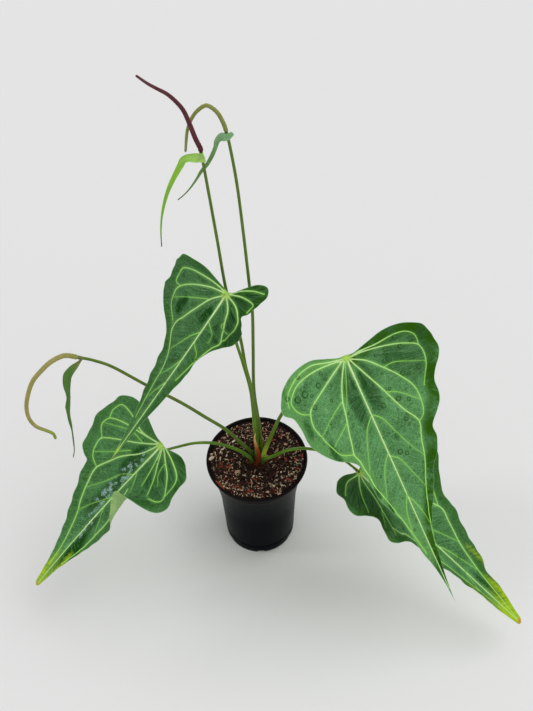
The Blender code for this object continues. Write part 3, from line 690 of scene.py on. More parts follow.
@dataclass
class Skin:
    """A mesh being made, in millimetres, with a named value or vector at each of its points."""

    points: Array
    faces: list
    values: dict[str, Array]
    materials: Array | None = None

    @classmethod
    def joined(cls, skins: list["Skin"]) -> "Skin":
        """Join several skins into one.

        Args:
            skins: skins that hold the same values.

        Returns:
            The joined skin.
        """
        faces, first = [], 0
        for skin in skins:
            faces += [[index + first for index in face] for face in skin.faces]
            first += len(skin.points)
        values = {name: np.concatenate([skin.values[name] for skin in skins]) for name in skins[0].values}
        return cls(np.concatenate([skin.points for skin in skins]), faces, values)

    def piece(self, name: str, finishes: list[Material], slot: Slot, *nodes: str,
              smooth: float | None = 45.0) -> bpy.types.Object:
        """Turn the skin into a piece that rides on the plant.

        Args:
            name: the piece's name.
            finishes: its materials.
            slot: the record's slot for its finish; not used.
            *nodes: the CAD nodes that it stands for.
            smooth: the angle in degrees past which an edge stays sharp, or None for flat faces.

        Returns:
            The new object.
        """
        mesh = bpy.data.meshes.new(name)
        mesh.from_pydata((self.points * MM).tolist(), [], self.faces)
        for finish in finishes:
            mesh.materials.append(finish)
        if self.materials is not None:
            mesh.polygons.foreach_set("material_index", self.materials.astype(np.int32))
        for key, value in self.values.items():
            kind, part = ("FLOAT_VECTOR", "vector") if value.ndim == 2 else ("FLOAT", "value")
            data = mesh.attributes.new(key, kind, "POINT").data
            data.foreach_set(part, value.astype(np.float32).ravel())
        if smooth is not None:
            mesh.shade_smooth()
            mesh.set_sharp_from_angle(angle=math.radians(smooth))
        mesh.update()
        item = linked(name, mesh)
        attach(item, BODY)
        if nodes:
            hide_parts(*nodes)
        LOG.info("%s: %d triangles", name, sum(len(face) - 2 for face in self.faces))
        return item


def frames_along(route: Array, facing: list[Vector] | None = None) -> list[tuple[Vector, Vector, Vector]]:
    """Set a frame at each place of a route.

    Args:
        route: the places, one row each.
        facing: what the third direction turns to at each place, or None to carry it without twist.

    Returns:
        The direction along the route and two across it, for each place.
    """
    frames = []
    side = Vector((0, 1, 0))
    for index in range(len(route)):
        along = Vector(route[min(index + 1, len(route) - 1)] - route[max(index - 1, 0)]).normalized()
        side = (along.cross(facing[index]) if facing else side - along * side.dot(along)).normalized()
        frames.append((along, side, side.cross(along) if facing else along.cross(side)))
    return frames


def quads_between(rings: int, around: int) -> list[list[int]]:
    """Join rings of points by four-sided faces.

    Args:
        rings: how many rings there are, one after another.
        around: how many points each ring has.

    Returns:
        The faces, each as its points' indices.
    """
    first = np.arange(rings - 1)[:, None] * around
    here, after = np.arange(around), (np.arange(around) + 1) % around
    quads = np.stack([first + here, first + after, first + after + around, first + here + around], axis=-1)
    return quads.reshape(-1, 4).tolist()


def sweep(route: Array, frames: list, rings: Array, turn: bool = False, **values: Array | float) -> Skin:
    """Sweep closed sections along a route.

    Args:
        route: the places that the sections stand at, one row each.
        frames: the frame at each place.
        rings: for each place, the section's points as (across, other) in millimetres.
        turn: whether the faces are turned, for frames that are set by a facing.
        **values: named values, one for each place or the same for all.

    Returns:
        The closed skin, with its grain: across, other and along.
    """
    sides = np.array([[tuple(side), tuple(other)] for _, side, other in frames])
    points = route[:, None, :] + np.einsum("rpk,rkx->rpx", rings, sides)
    count, around = rings.shape[:2]
    faces = quads_between(count, around)
    faces += [list(range(around))[::-1], [(count - 1) * around + index for index in range(around)]]
    if turn:
        faces = [face[::-1] for face in faces]
    grain = np.column_stack([rings.reshape(-1, 2), np.repeat(reach_of(route), around)])
    held = {name: np.repeat(np.zeros(count) + value, around) for name, value in values.items()}
    return Skin(points.reshape(-1, 3), faces, {"grain": grain, **held})


def circle(sides: int) -> tuple[Array, Array]:
    """Return the angles round a section, and their unit points."""
    angles = 2 * math.pi * np.arange(sides) / sides
    return angles, np.column_stack([np.cos(angles), np.sin(angles)])


def turned(profile: list[Pair], segments: int) -> Skin:
    """Turn a profile about the Z axis.

    Args:
        profile: (radius, height) pairs; they start and end on the axis, outer side upwards.
        segments: the number of sides.

    Returns:
        The closed skin, with its grain in millimetres.
    """
    points = [(0.0, 0.0, profile[0][1])]
    for radius, height in profile[1:-1]:
        points += [(x * radius, y * radius, height) for x, y in circle(segments)[1]]
    points.append((0.0, 0.0, profile[-1][1]))
    rows = len(profile) - 2
    last = 1 + (rows - 1) * segments
    faces = []
    for step in range(segments):
        after = (step + 1) % segments
        faces.append([0, 1 + after, 1 + step])
        for low in range(1, last, segments):
            faces.append([low + step, low + after, low + segments + after, low + segments + step])
        faces.append([last + step, last + after, len(points) - 1])
    return Skin(np.array(points), faces, {"grain": np.array(points)})


@dataclass
class Pot:
    """The flared nursery pot: lip, thin wall, drain holes and foot notches."""

    height: float = 150.0
    base_radius: float = 42.7
    waist_radius: float = 45.9
    waist_height: float = 78.0
    rim_radius: float = 59.6
    wall: float = 1.5
    floor: float = 2.0
    foot_round: float = 1.4
    lip: float = 1.2
    lip_height: float = 4.0
    lip_round: float = 0.7
    segments: int = 160
    holes: int = 6
    hole_radius: float = 4.0
    hole_circle: float = 28.0
    notch_width: float = 9.0
    notch_height: float = 3.5
    bead: float = 0.22
    bead_heights: tuple[float, ...] = (12.0, 136.0, 139.5)

    def outside(self, height: float) -> float:
        """Give the pot's outer radius.

        Args:
            height: the height to read it at.

        Returns:
            The radius there.
        """
        if height <= self.waist_height:
            return self.base_radius + (self.waist_radius - self.base_radius) * height / self.waist_height
        t = (height - self.waist_height) / (self.height - self.waist_height)
        flare = self.rim_radius - self.lip - self.waist_radius
        return self.waist_radius + flare * (0.45 * t + 0.55 * t * t)

    def profile(self) -> list[Pair]:
        """Draw the pot's profile.

        Returns:
            (radius, height) pairs: under its floor, up the outside, over the lip and down the inside.
        """
        foot = self.foot_round
        points = [(0.0, 0.0), (self.base_radius * 0.8, 0.0), (self.base_radius - foot, 0.0)]
        for angle in np.radians((30, 60, 90)):
            points.append((self.base_radius - foot * (1 - math.sin(angle)), foot * (1 - math.cos(angle))))
        lip_foot = self.height - self.lip_height
        heights = sorted(set(np.arange(6.0, lip_foot - 3, 6.0)) | {self.waist_height})
        wall = [(self.outside(height), height) for height in heights]
        for bead in self.bead_heights:
            wall += [(self.outside(bead - 0.6), bead - 0.6), (self.outside(bead) + self.bead, bead),
                     (self.outside(bead + 0.6), bead + 0.6)]
        points += [*sorted(wall, key=lambda point: point[1]), (self.outside(lip_foot), lip_foot)]
        half = self.lip_height / 2
        for step in range(7):
            angle = -math.pi / 2 + step * math.pi / 6
            points.append((self.rim_radius - self.lip_round + self.lip_round * math.cos(angle),
                           self.height - half + half * math.sin(angle)))
        points.append((self.outside(self.height) - self.wall, self.height - 0.4))
        points += [(self.outside(height) - self.wall, height) for height in heights[::-1]]
        inner = self.base_radius - self.wall
        return [*points, (inner, self.floor + 1.0), (inner - 1.0, self.floor), (0.0, self.floor)]

    def cutters(self) -> bpy.types.Object:
        """Make the drain holes and the foot notches as one solid.

        Returns:
            The object to cut with.
        """
        bm = bmesh.new()
        for index in range(self.holes):
            angle = 2 * math.pi * index / self.holes
            place = Matrix.Translation(Vector((math.cos(angle), math.sin(angle), 0)) * self.hole_circle * MM)
            bmesh.ops.create_cone(bm, cap_ends=True, segments=32, radius1=self.hole_radius * MM,
                                  radius2=self.hole_radius * MM, depth=4 * self.floor * MM, matrix=place)
            notch = bmesh.ops.create_cube(bm, size=MM)["verts"]
            bmesh.ops.scale(bm, verts=notch, vec=(6.0, self.notch_width, 2 * self.notch_height))
            bmesh.ops.translate(bm, verts=notch, vec=((self.base_radius + 1.2) * MM, 0, 0))
            bmesh.ops.transform(bm, verts=notch, matrix=Matrix.Rotation(angle + math.pi / self.holes, 4, "Z"))
        mesh = bpy.data.meshes.new("pot_cutters")
        bm.to_mesh(mesh)
        bm.free()
        return linked("pot_cutters", mesh)

    def build(self) -> None:
        """Make the pot and dress it."""
        skin = turned(self.profile(), self.segments)
        skin.values["dust"] = ease(skin.points[:, 2], self.height - 26, self.height - 6)
        pot = skin.piece("pot_shell", [PotFinish().material()], Slot.POT, "pot", smooth=35.0)
        cut = pot.modifiers.new("Holes", "BOOLEAN")
        cut.operation = "DIFFERENCE"
        cut.solver = "EXACT"
        cut.object = self.cutters()
        mesh = bpy.data.meshes.new_from_object(pot.evaluated_get(bpy.context.evaluated_depsgraph_get()))
        bpy.data.objects.remove(cut.object, do_unlink=True)
        pot.modifiers.clear()
        pot.data = mesh


@dataclass
class Soil:
    """The bark mix in the pot: a crumbly body with loose slivers, flakes and a few stones."""

    pot: Pot
    edge_height: float = SOIL_TOP
    dip: float = 4.5
    hole_centre: Pair = (1.0, 0.5)
    hole_radius: float = 11.8
    hole_floor: float = 99.7
    floor: float = 2.3
    gap: float = 0.3
    rings: int = 70
    segments: int = 220
    red_chips: Route = (
        (-46.6, 1.9, -39.4, -12.8, 3.6, 0.5), (-48.3, -28.6, -38.4, -41.2, 3.4, 0.5),
        (44.5, -5.0, 47.5, 3.0, 4.2, 1.0), (52.5, -3.0, 55.0, 6.0, 2.4, 0.3),
        (27.0, 31.0, 33.0, 35.5, 4.0, 0.8), (-30.0, -46.0, -27.0, -34.0, 1.8, 0.6),
        (30.0, -32.0, 37.0, -27.0, 3.0, 0.4), (8.0, 41.0, 16.0, 38.0, 3.0, 0.4))
    pale_chips: Route = (
        (-56.5, 0.5, -50.5, 4.5, 4.6, 0.6), (-28.0, -17.5, -20.0, -14.0, 4.6, 0.25),
        (-5.0, -20.6, 10.5, -22.8, 1.7, 0.95), (-8.4, -23.8, -3.2, -21.4, 3.4, 0.9),
        (-33.0, 24.0, -24.0, 31.0, 2.0, 0.9), (20.0, -20.0, 31.0, -16.0, 1.6, 0.9),
        (-26.0, -36.0, -17.0, -42.0, 2.0, 0.8), (36.0, 14.0, 44.0, 21.0, 1.8, 0.9),
        (-44.0, 12.0, -37.0, 20.0, 2.0, 0.7), (14.0, -33.0, 23.0, -38.0, 1.8, 0.85))
    stone_places: Route = (
        (25.1, -49.6, 2.4), (11.6, -45.8, 2.2), (-53.5, 8.5, 2.0), (-24.0, 30.0, 1.7),
        (34.0, 21.0, 1.6), (-36.0, -31.0, 1.6), (40.0, -22.0, 1.5))

    def __post_init__(self) -> None:
        """Work out the radius of the soil's top surface."""
        self.edge = self.wall_radius(self.edge_height)

    def wall_radius(self, height: float) -> float:
        """Return the soil's radius against the pot's wall at a height."""
        return self.pot.outside(height) - self.pot.wall - self.gap

    def height(self, x: float, y: float) -> float:
        """Give the height of the crumbly surface.

        Args:
            x: place across the pot.
            y: place towards the back of the pot.

        Returns:
            The height in millimetres.
        """
        inward = self.edge - math.hypot(x, y)
        t = inward / (self.edge - self.hole_radius)
        swell = 1.5 * noise.noise(Vector((x, y, 0)) / 17.0) + 1.3 * noise.noise(Vector((x, y, 9)) / 5.0)
        crumbs = 0.9 * noise.noise(Vector((x, y, 30)) / 1.9)
        sunk = self.dip * math.sin(min(max(t, 0.0), 1.0) * math.pi / 2)
        return self.edge_height - sunk + (swell + crumbs) * min(1.0, max(0.0, inward / 3.0))

    def body(self) -> Skin:
        """Make the soil's body, with its open hole for the stem.

        Returns:
            Its skin.
        """
        profile = [(0.0, self.floor)]
        profile += [(self.wall_radius(height), height)
                    for height in (self.floor, 30.0, self.pot.waist_height, 96.0, 112.0, 128.0, 138.0)]
        profile += [(self.edge + (self.hole_radius - self.edge) * step / self.rings, self.edge_height)
                    for step in range(self.rings + 1)]
        profile += [(self.hole_radius, self.hole_floor), (0.0, self.hole_floor)]
        skin = turned(profile, self.segments)
        flat = np.hypot(skin.points[:, 0], skin.points[:, 1])
        share = np.clip((self.edge - flat) / (self.edge - self.hole_radius), 0, 1)
        inside = (skin.points[:, 2] > self.hole_floor - 1) & (flat < self.edge + 0.01)
        for index in np.nonzero(inside)[0]:
            skin.points[index, :2] += np.array(self.hole_centre) * share[index]
            if skin.points[index, 2] > self.edge_height - 0.01:
                skin.points[index, 2] = self.height(*skin.points[index, :2])
        skin.values["tone"] = np.full(len(skin.points), 0.15)
        return skin

    def crumb(self, draw: random.Random, place: Pair, bearing: float, size: Place,
              tilt: float, tone: float) -> Skin:
        """Make one sliver or flake lying on the soil.

        Args:
            draw: the random draw.
            place: where its middle lies.
            bearing: the way that it points, in radians.
            size: its length, width and thickness.
            tilt: the most that it leans, in radians.
            tone: its place between its finish's dark and light colours.

        Returns:
            Its skin.
        """
        length, width, thick = size
        bend = draw.uniform(-0.06, 0.06) * length
        spine = [((t - 0.5) * length, bend * (0.25 - (t - 0.5) ** 2) * 4, 0.12 * bend * math.sin(3 * t))
                 for t in np.linspace(0, 1, 4)]
        taper = [draw.uniform(*limits) for limits in ((0.35, 0.8), (0.85, 1.1), (0.85, 1.1), (0.2, 0.7))]
        points = []
        for (px, py, pz), share in zip(spine, taper):
            for side, up in ((-1, -0.6), (1, -0.6), (0.8, 0.7), (-0.7, 0.8)):
                points.append((px + draw.uniform(-0.1, 0.1) * width, py + side * share * width / 2,
                               pz + up * share * thick / 2))
        faces = [[0, 3, 2, 1], [12, 13, 14, 15], *quads_between(4, 4)]
        turn = (Matrix.Rotation(bearing, 3, "Z") @ Matrix.Rotation(draw.uniform(-tilt, tilt), 3, "Y")
                @ Matrix.Rotation(draw.uniform(-0.5, 0.5), 3, "X"))
        local = np.array(points)
        grain = local[:, [1, 2, 0]] + draw.uniform(0, 500)
        placed = local @ np.array(turn).T
        placed += (*place, self.height(*place) + thick * 0.35 + draw.uniform(0, 0.7))
        placed[:, 2] = np.minimum(placed[:, 2], self.pot.height - 0.4)
        return Skin(placed, faces, {"grain": grain, "tone": np.full(len(points), tone)})

    def spot(self, draw: random.Random, length: float, outward: float) -> Pair:
        """Draw a place on the soil clear of the stem.

        Args:
            draw: the random draw.
            length: the length of what lies there.
            outward: above 1 to keep nearer the edge, 1 to be even.

        Returns:
            The place.
        """
        reach = self.edge - 1.2 - length * 0.35
        while True:
            distance = reach * draw.random() ** (0.5 / outward)
            bearing = draw.uniform(0, 2 * math.pi)
            x, y = distance * math.cos(bearing), distance * math.sin(bearing)
            if math.dist((x, y), self.hole_centre) > self.hole_radius - 1:
                return x, y

    def crumbs(self, count: int, seed: int, lengths: Pair, shape: Pair,
               tilt: float, outward: float = 1.0) -> Skin:
        """Scatter crumbs of one kind.

        Args:
            count: how many there are.
            seed: the seed of their draw.
            lengths: their shortest and longest length.
            shape: width and thickness as shares of the length.
            tilt: the most that they lean, in radians.
            outward: above 1 to keep them nearer the edge.

        Returns:
            Their joined skin.
        """
        draw = random.Random(seed)
        made = []
        for _ in range(count):
            length = draw.uniform(*lengths)
            place = self.spot(draw, length, outward)
            width = max(0.5, length * shape[0] * draw.uniform(0.7, 1.3))
            thick = max(0.35, length * shape[1] * draw.uniform(0.7, 1.3))
            shade = 0.35 + 0.65 * min(1.0, math.hypot(*place) / self.edge)
            shade *= 0.8 - 0.2 * (place[0] + place[1]) / self.edge
            made.append(self.crumb(draw, place, draw.uniform(0, 2 * math.pi), (length, width, thick), tilt,
                                   (0.2 + 0.8 * draw.random()) * shade))
        return Skin.joined(made)

    def laid(self, chips: Route, seed: int) -> Skin:
        """Lay the listed chips.

        Args:
            chips: each chip's two ends, width and tone, as (x, y, end x, end y, width, tone).
            seed: the seed of their draw.

        Returns:
            Their joined skin.
        """
        draw = random.Random(seed)
        made = []
        for x, y, end_x, end_y, width, tone in chips:
            size = (math.hypot(end_x - x, end_y - y), width, 0.3 * width + 0.6)
            bearing = math.atan2(end_y - y, end_x - x)
            made.append(self.crumb(draw, ((x + end_x) / 2, (y + end_y) / 2), bearing, size, 0.12, tone))
        return Skin.joined(made)

    def stones(self) -> Skin:
        """Make a few smooth pale stones.

        Returns:
            Their joined skin.
        """
        bm = bmesh.new()
        bmesh.ops.create_icosphere(bm, subdivisions=3, radius=1.0)
        ball = np.array([vert.co for vert in bm.verts])
        faces = [[vert.index for vert in face.verts] for face in bm.faces]
        bm.free()
        made = []
        for index, (x, y, radius) in enumerate(self.stone_places):
            points = ball * (1 + 0.16 * waves(ball * 10, index + 3, 9.0))[:, None]
            points *= (radius, radius * 0.8, radius * 0.62)
            tones = np.full(len(points), 0.35 + 0.1 * (index % 4))
            made.append(Skin(points + (x, y, self.height(x, y) + radius * 0.3), faces,
                             {"grain": points + 40 * index, "tone": tones}))
        return Skin.joined(made)

    def build(self) -> None:
        """Make the soil and everything loose on it."""
        loose = (
            ("soil_bark_dark", GroundFinish("bark_dark", rgb(12, 6, 5), rgb(74, 42, 32)),
             [self.crumbs(2300, 21, (1.6, 5.5), (0.42, 0.26), 0.7)]),
            ("soil_husk_pale", GroundFinish("husk_pale", rgb(140, 88, 64), rgb(255, 236, 204)),
             [self.crumbs(1000, 22, (1.4, 4.2), (0.34, 0.2), 0.9, 1.5),
              self.crumbs(90, 25, (4.5, 9.5), (0.14, 0.1), 0.35, 1.7), self.laid(self.pale_chips, 26)]),
            ("soil_bark_red", GroundFinish("bark_red", rgb(84, 26, 16), rgb(176, 84, 56)),
             [self.crumbs(85, 23, (4.0, 9.0), (0.34, 0.16), 0.4, 1.3), self.laid(self.red_chips, 27)]),
        )
        earth = GroundFinish("soil_mix", rgb(10, 5, 4), rgb(52, 30, 22), 0.9, 0.9, 0.6)
        stone = GroundFinish("stone_pale", rgb(176, 120, 96), rgb(240, 206, 180), 0.8, 0.65, 0.1)
        self.body().piece("soil_body", [earth.material()], Slot.SOIL, "soil", smooth=70.0)
        for name, finish, skins in loose:
            Skin.joined(skins).piece(name, [finish.material()], Slot.SOIL, smooth=None)
        self.stones().piece("soil_stones", [stone.material()], Slot.SOIL, smooth=80.0)


@dataclass
class Stem:
    """The short stem in the soil: knobbly, ringed by old leaf scars, with dry fibres round it."""

    centre: Pair = (1.0, 0.5)
    radius: float = 11.5
    top: float = SOIL_TOP
    foot: float = 100.0
    fibres: int = 90
    scales: int = 9
    stalk_feet: Route = (
        (0.0, 0.0, 2.9), (8.2, 1.5, 3.4), (-6.0, -3.8, 2.8), (6.5, -5.0, 2.8), (0.5, 6.2, 2.6),
        (5.8, 6.6, 2.6), (-5.6, 3.6, 2.6))

    def body(self) -> Skin:
        """Make the stem's knobbly body.

        Returns:
            Its skin.
        """
        profile = [(0.0, self.foot), (self.radius * 0.72, self.foot), (self.radius, self.foot + 8)]
        profile += [(self.radius, height) for height in np.arange(self.foot + 10, self.top - 8, 3.0)]
        profile += [(self.radius - 0.3 * (step % 2), self.top - 8 + step * 0.8) for step in range(8)]
        profile += [(self.radius - 1.6, self.top - 0.6)]
        profile += [(radius, self.top - 0.2) for radius in (8.5, 7.0, 5.5, 4.0, 2.5, 1.2, 0.0)]
        skin = turned(profile, 72)
        swell = waves(skin.points, 4, 4.0) * 0.7 + waves(skin.points, 5, 1.6) * 0.35
        flat = np.hypot(skin.points[:, 0], skin.points[:, 1])
        upper = skin.points[:, 2] > self.top - 9
        away = skin.points[:, :2] / np.maximum(flat, 0.01)[:, None]
        shrink = np.where(upper & (flat > 6), np.minimum(swell - 0.5, 0.0), 0.0)
        skin.points[:, :2] += away * shrink[:, None]
        skin.points[:, 2] += np.where(upper & (flat < self.radius - 1), np.minimum(swell - 0.3, 0.1), 0)
        skin.points[:, :2] += self.centre
        skin.values["tone"] = np.clip(0.35 + 0.5 * waves(skin.points, 6, 5.0), 0, 1)
        return skin

    def scale(self, draw: random.Random, place: Place) -> Skin:
        """Make one dry scale that leans against the foot of a stalk; mostly dark, it also stands in for the
        shade there.

        Args:
            draw: the random draw.
            place: the foot's x, y and radius.

        Returns:
            Its skin.
        """
        bearing = draw.uniform(0, 2 * math.pi)
        way = np.array((math.cos(bearing), math.sin(bearing), 0.0))
        start = np.array((place[0], place[1], self.top)) + way * (place[2] + draw.uniform(0.7, 1.4))
        rise = draw.uniform(1.2, 3.6)
        line = smooth_route([start + way * 1.2 - (0, 0, 2.6), start, start - way * 0.25 + (0, 0, rise)], 1.2)
        widths = np.interp(np.linspace(0, 1, len(line)), (0, 0.5, 1), (1.5, 1.3, 0.35))
        rings = circle(8)[1] * (widths * draw.uniform(0.7, 1.2))[:, None, None] * (1, 0.28)
        # Mostly dark tones, which also stand in for the shade at the stalk's foot.
        return sweep(line, frames_along(line, [Vector(way)] * len(line)), rings, tone=draw.random() ** 2)

    def fibre(self, draw: random.Random) -> Skin:
        """Make one dry fibre that hangs from the stem onto the soil.

        Args:
            draw: the random draw.

        Returns:
            Its skin.
        """
        bearing = draw.uniform(0, 2 * math.pi)
        start = self.radius - draw.uniform(0.6, 1.6)
        end = self.radius + draw.uniform(0.5, 5.0)
        lean = draw.uniform(-0.35, 0.35)
        places = ((start, bearing, 1.0, 4.0), ((start + end) / 2, bearing + lean / 2, 1.5, 4.0),
                  (end, bearing + lean, 4.0, 6.5))
        route = [(reach * math.cos(turn), reach * math.sin(turn), self.top - draw.uniform(least, most))
                 for reach, turn, least, most in places]
        line = smooth_route(route, 1.6) + (*self.centre, 0.0)
        radii = np.linspace(0.34, 0.12, len(line)) * draw.uniform(0.7, 1.5)
        return sweep(line, frames_along(line), circle(5)[1] * radii[:, None, None], tone=draw.random())

    def build(self) -> None:
        """Make the stem, its fibres and its dry scales, which also stand in for the shade at the stalks'
        feet.
        """
        bark = GroundFinish("stem_bark", rgb(14, 7, 5), rgb(56, 27, 16), 0.8, 0.8, 0.4)
        fibre = GroundFinish("stem_fibre", rgb(30, 15, 10), rgb(112, 68, 42), 1.5)
        self.body().piece("stem_body", [bark.material()], Slot.STEM, "stem", smooth=60.0)
        draw = random.Random(31)
        made = [self.fibre(draw) for _ in range(self.fibres)]
        made += [self.scale(draw, place) for place in self.stalk_feet for _ in range(self.scales)]
        Skin.joined(made).piece("stem_fibres", [fibre.material()], Slot.STEM)


@dataclass
class Stalk:
    """A round tapering stalk, such as a petiole or a flower stalk."""

    node: str
    name: str
    start: Pair
    route: Route
    foot_radius: float
    top_radius: float
    finish: StalkFinish
    slot: Slot
    sheath: float = 0.25
    sheath_length: float = 12.0
    joint: float = 0.0
    joint_length: float = 9.0
    gap: float = 0.3
    foot_run: float = 4.0
    sides: int = 24
    step: float = 2.0

    def full_route(self) -> Route:
        """Return the route with its upright run on the stem."""
        low = SOIL_TOP + self.gap
        return ((*self.start, low), (*self.start, low + self.foot_run), *self.route)

    def end(self) -> tuple[Array, Array]:
        """Return the place of the stalk's top, and its direction there."""
        route = self.full_route()
        return np.array(route[-1], float), unit(np.subtract(route[-1], route[-2]))

    def build(self) -> None:
        """Make the stalk and dress it."""
        line = smooth_route(self.full_route(), self.step)
        reach = reach_of(line)
        length = reach[-1]
        flare = self.sheath * np.exp(-reach / self.sheath_length)
        radii = np.linspace(self.foot_radius, self.top_radius, len(line)) * (1 + flare)
        swell = ease(reach, length - 1.4 * self.joint_length, length - 0.5 * self.joint_length)
        radii *= 1 + self.joint * swell
        radii *= 1 + 0.035 * waves(line, 7, 14.0)
        angles, ring = circle(self.sides)
        groove = np.exp(-((angles - math.pi / 2) / 0.5) ** 2)
        depth = 0.10 * ease(reach, 0, 20) + 0.22 * flare
        ribs = 0.02 * np.cos(6 * angles)
        rings = ring * (radii[:, None] * (1 - depth[:, None] * groove + ribs))[..., None]
        top = ease(reach, length - 1.7 * self.joint_length, length) if self.joint else 0.0
        foot = np.exp(-(reach / self.sheath_length) ** 2)
        skin = sweep(line, frames_along(line), rings, foot=foot, top=top)
        skin.piece(self.name, [self.finish.material()], self.slot, self.node, smooth=60.0)


@dataclass
class Strap:
    """A narrow channelled strap, such as a spathe or the sheath at the foot of the stalks."""

    node: str
    name: str
    start: Place
    route: Route
    half_widths: tuple[float, ...]
    channel: float
    finish: StrapFinish
    slot: Slot
    stalk: Stalk | None = None
    facing: Place = (0.0, -0.77, 0.64)
    turn_length: float = 24.0
    drop: float = 5.0
    clearance: float = 0.7
    tip_share: float = 0.2
    foot_share: float = 0.12
    thickness: float = 0.7
    step: float = 1.4
    across: int = 11
    wave: float = 0.25

    def seated(self) -> tuple[Array, Array]:
        """Set the strap's foot against its stalk, if it has one.

        Returns:
            The whole route, and the facing at its start.
        """
        facing = np.array(self.facing)
        if self.stalk is None:
            return np.array((self.start, *self.route)), facing
        place, along = self.stalk.end()
        out = unit(facing - along * np.dot(facing, along))
        clasp = place - along * self.drop + out * (self.stalk.top_radius + self.clearance)
        return np.array((clasp + self.start, clasp, *self.route)), out

    def build(self) -> None:
        """Make the strap and dress it."""
        points, first = self.seated()
        line = smooth_route(points, self.step)
        reach = reach_of(line)
        share = reach / reach[-1]
        places = np.linspace(0, len(self.half_widths) - 1, len(line))
        widths = np.interp(places, range(len(self.half_widths)), self.half_widths)
        spread = np.linspace(-1, 1, self.across)
        rise = math.sin(math.radians(self.channel))
        edge = np.sqrt(np.clip(1 - np.abs(spread) ** 6, 0.05, 1))
        rib = 0.5 * np.exp(-(spread / 0.16) ** 2)
        furrow = 0.07 * np.cos(spread * 5 * math.pi)
        rings = []
        for width, place in zip(widths, share):
            wavy = self.wave * np.sin(place * 31 + spread * 1.5) * spread ** 2 * min(width, 2.5)
            middle = rise * spread ** 2 * width + wavy
            half = self.thickness / 2 * edge * min(1.0, 0.35 + 0.65 * width / 1.6)
            upper = np.column_stack([spread * width, middle + half - furrow])
            lower = np.column_stack([spread * width, middle - half - rib * half - furrow])[::-1]
            rings.append(np.concatenate([upper, lower[1:-1]]))
        settled = np.clip(reach / self.turn_length, 0, 1)[:, None]
        facings = [Vector(way) for way in first * (1 - settled) + np.array(self.facing) * settled]
        skin = sweep(line, frames_along(line, facings), np.array(rings), turn=True,
                     foot=ease(share, self.foot_share, 0.0), top=ease(share, 1 - self.tip_share, 1.0))
        if self.stalk is not None:
            skin = Skin.joined([skin, self.collar()])
        skin.piece(self.name, [self.finish.material()], self.slot, self.node, smooth=70.0)

    def collar(self) -> Skin:
        """Make the short sleeve by which a spathe clasps its stalk.

        Returns:
            Its skin.
        """
        place, along = self.stalk.end()
        line = place + along * np.linspace(-self.drop - 2.6, -0.4, 12)[:, None]
        angles, ring = circle(20)
        swell = np.interp(np.linspace(0, 1, 12), (0, 0.12, 0.5, 1), (0.05, 0.3, 0.42, 0.34))
        radii = (self.stalk.top_radius * 1.04 + swell)[:, None] * (1 + 0.03 * np.cos(7 * angles))
        return sweep(line, frames_along(line), ring * radii[..., None], foot=0.8, top=0.0)


@dataclass
class Spadix:
    """A flower spike: a bent tube set all round with small four-sided florets in rising spirals."""

    node: str
    name: str
    stalk: Stalk
    route: Route
    foot_radius: float
    tip_radius: float
    finish: SpadixFinish
    slot: Slot
    florets_round: int = 6
    pitch: float = 2.1
    relief: float = 0.13
    sides: int = 54
    step: float = 0.36
    gap: float = 0.3

    def build(self) -> None:
        """Make the spike and dress it."""
        place, along = self.stalk.end()
        coarse = smooth_route((place + along * self.gap, place + along * 4, *self.route), 4.0)
        line = smooth_route(coarse, self.step)
        reach = reach_of(line)
        share = reach / reach[-1]
        radii = self.foot_radius + (self.tip_radius - self.foot_radius) * share ** 1.5
        beyond = ((reach - reach[-1] + 1.5) / 1.6).clip(0)
        end_round = np.sqrt(np.clip(1 - beyond ** 2, 0.02, 1))
        start_round = 0.72 + 0.28 * ease(reach, 0, 1.6)
        angles, ring = circle(self.sides)
        around = angles[None] * self.florets_round / (2 * math.pi)
        row = reach[:, None] / self.pitch / 2
        cross = np.abs(np.cos(math.pi * (around + row)) * np.cos(math.pi * (around - row)))
        floret = cross ** 0.55
        dimple = ease(cross, 0.9, 0.99)
        relief = 0.955 + self.relief * (floret - 0.55) - 0.03 * dimple
        size = (radii * end_round * start_round)[:, None] * relief
        skin = sweep(line, frames_along(line), ring * size[..., None], top=ease(share, 0.75, 1.0))
        skin.values["floret"] = floret.ravel()
        skin.piece(self.name, [self.finish.material()], self.slot, self.node, smooth=70.0)


@dataclass(frozen=True)
class Seat:
    """Where a petiole meets its blade: place along the midrib, lean, pitch and distance from the blade."""

    along: float
    lean: float
    pitch: float
    distance: float
    run: float = 9.0


@dataclass(frozen=True)
class VeinKind:
    """How a kind of vein starts, and how much of that it loses by its end: half width, strength and depth."""

    width: float
    thinning: float
    strength: float
    fading: float
    depth: float


MAIN_VEIN = VeinKind(0.54, 0.2, 0.76, 0.24, 1.0)
SIDE_VEIN = VeinKind(0.42, 0.14, 0.46, 0.16, 0.45)
# Each level of a drop: its spread, its height, and how much of the painted dark ring it carries.
DROP_LEVELS = ((0.93, -0.25, 1.0), (1.0, 0.0, 1.0), (0.98, 0.2, 0.9), (0.86, 0.42, 0.5), (0.62, 0.58, 0.12),
               (0.32, 0.66, 0.0))


def gaps_to(flat: Array, starts: Array, runs: Array) -> Array:
    """Measure the distance of flat places from straight runs.

    Args:
        flat: the places.
        starts: the start of each run.
        runs: the way from each run's start to its end.

    Returns:
        A row for each place, with its distance from each run.
    """
    away = flat[:, None, :] - starts[None]
    t = np.clip((away * runs[None]).sum(-1) / np.maximum((runs ** 2).sum(1), 1e-9), 0, 1)
    return np.linalg.norm(away - t[..., None] * runs[None], axis=-1)


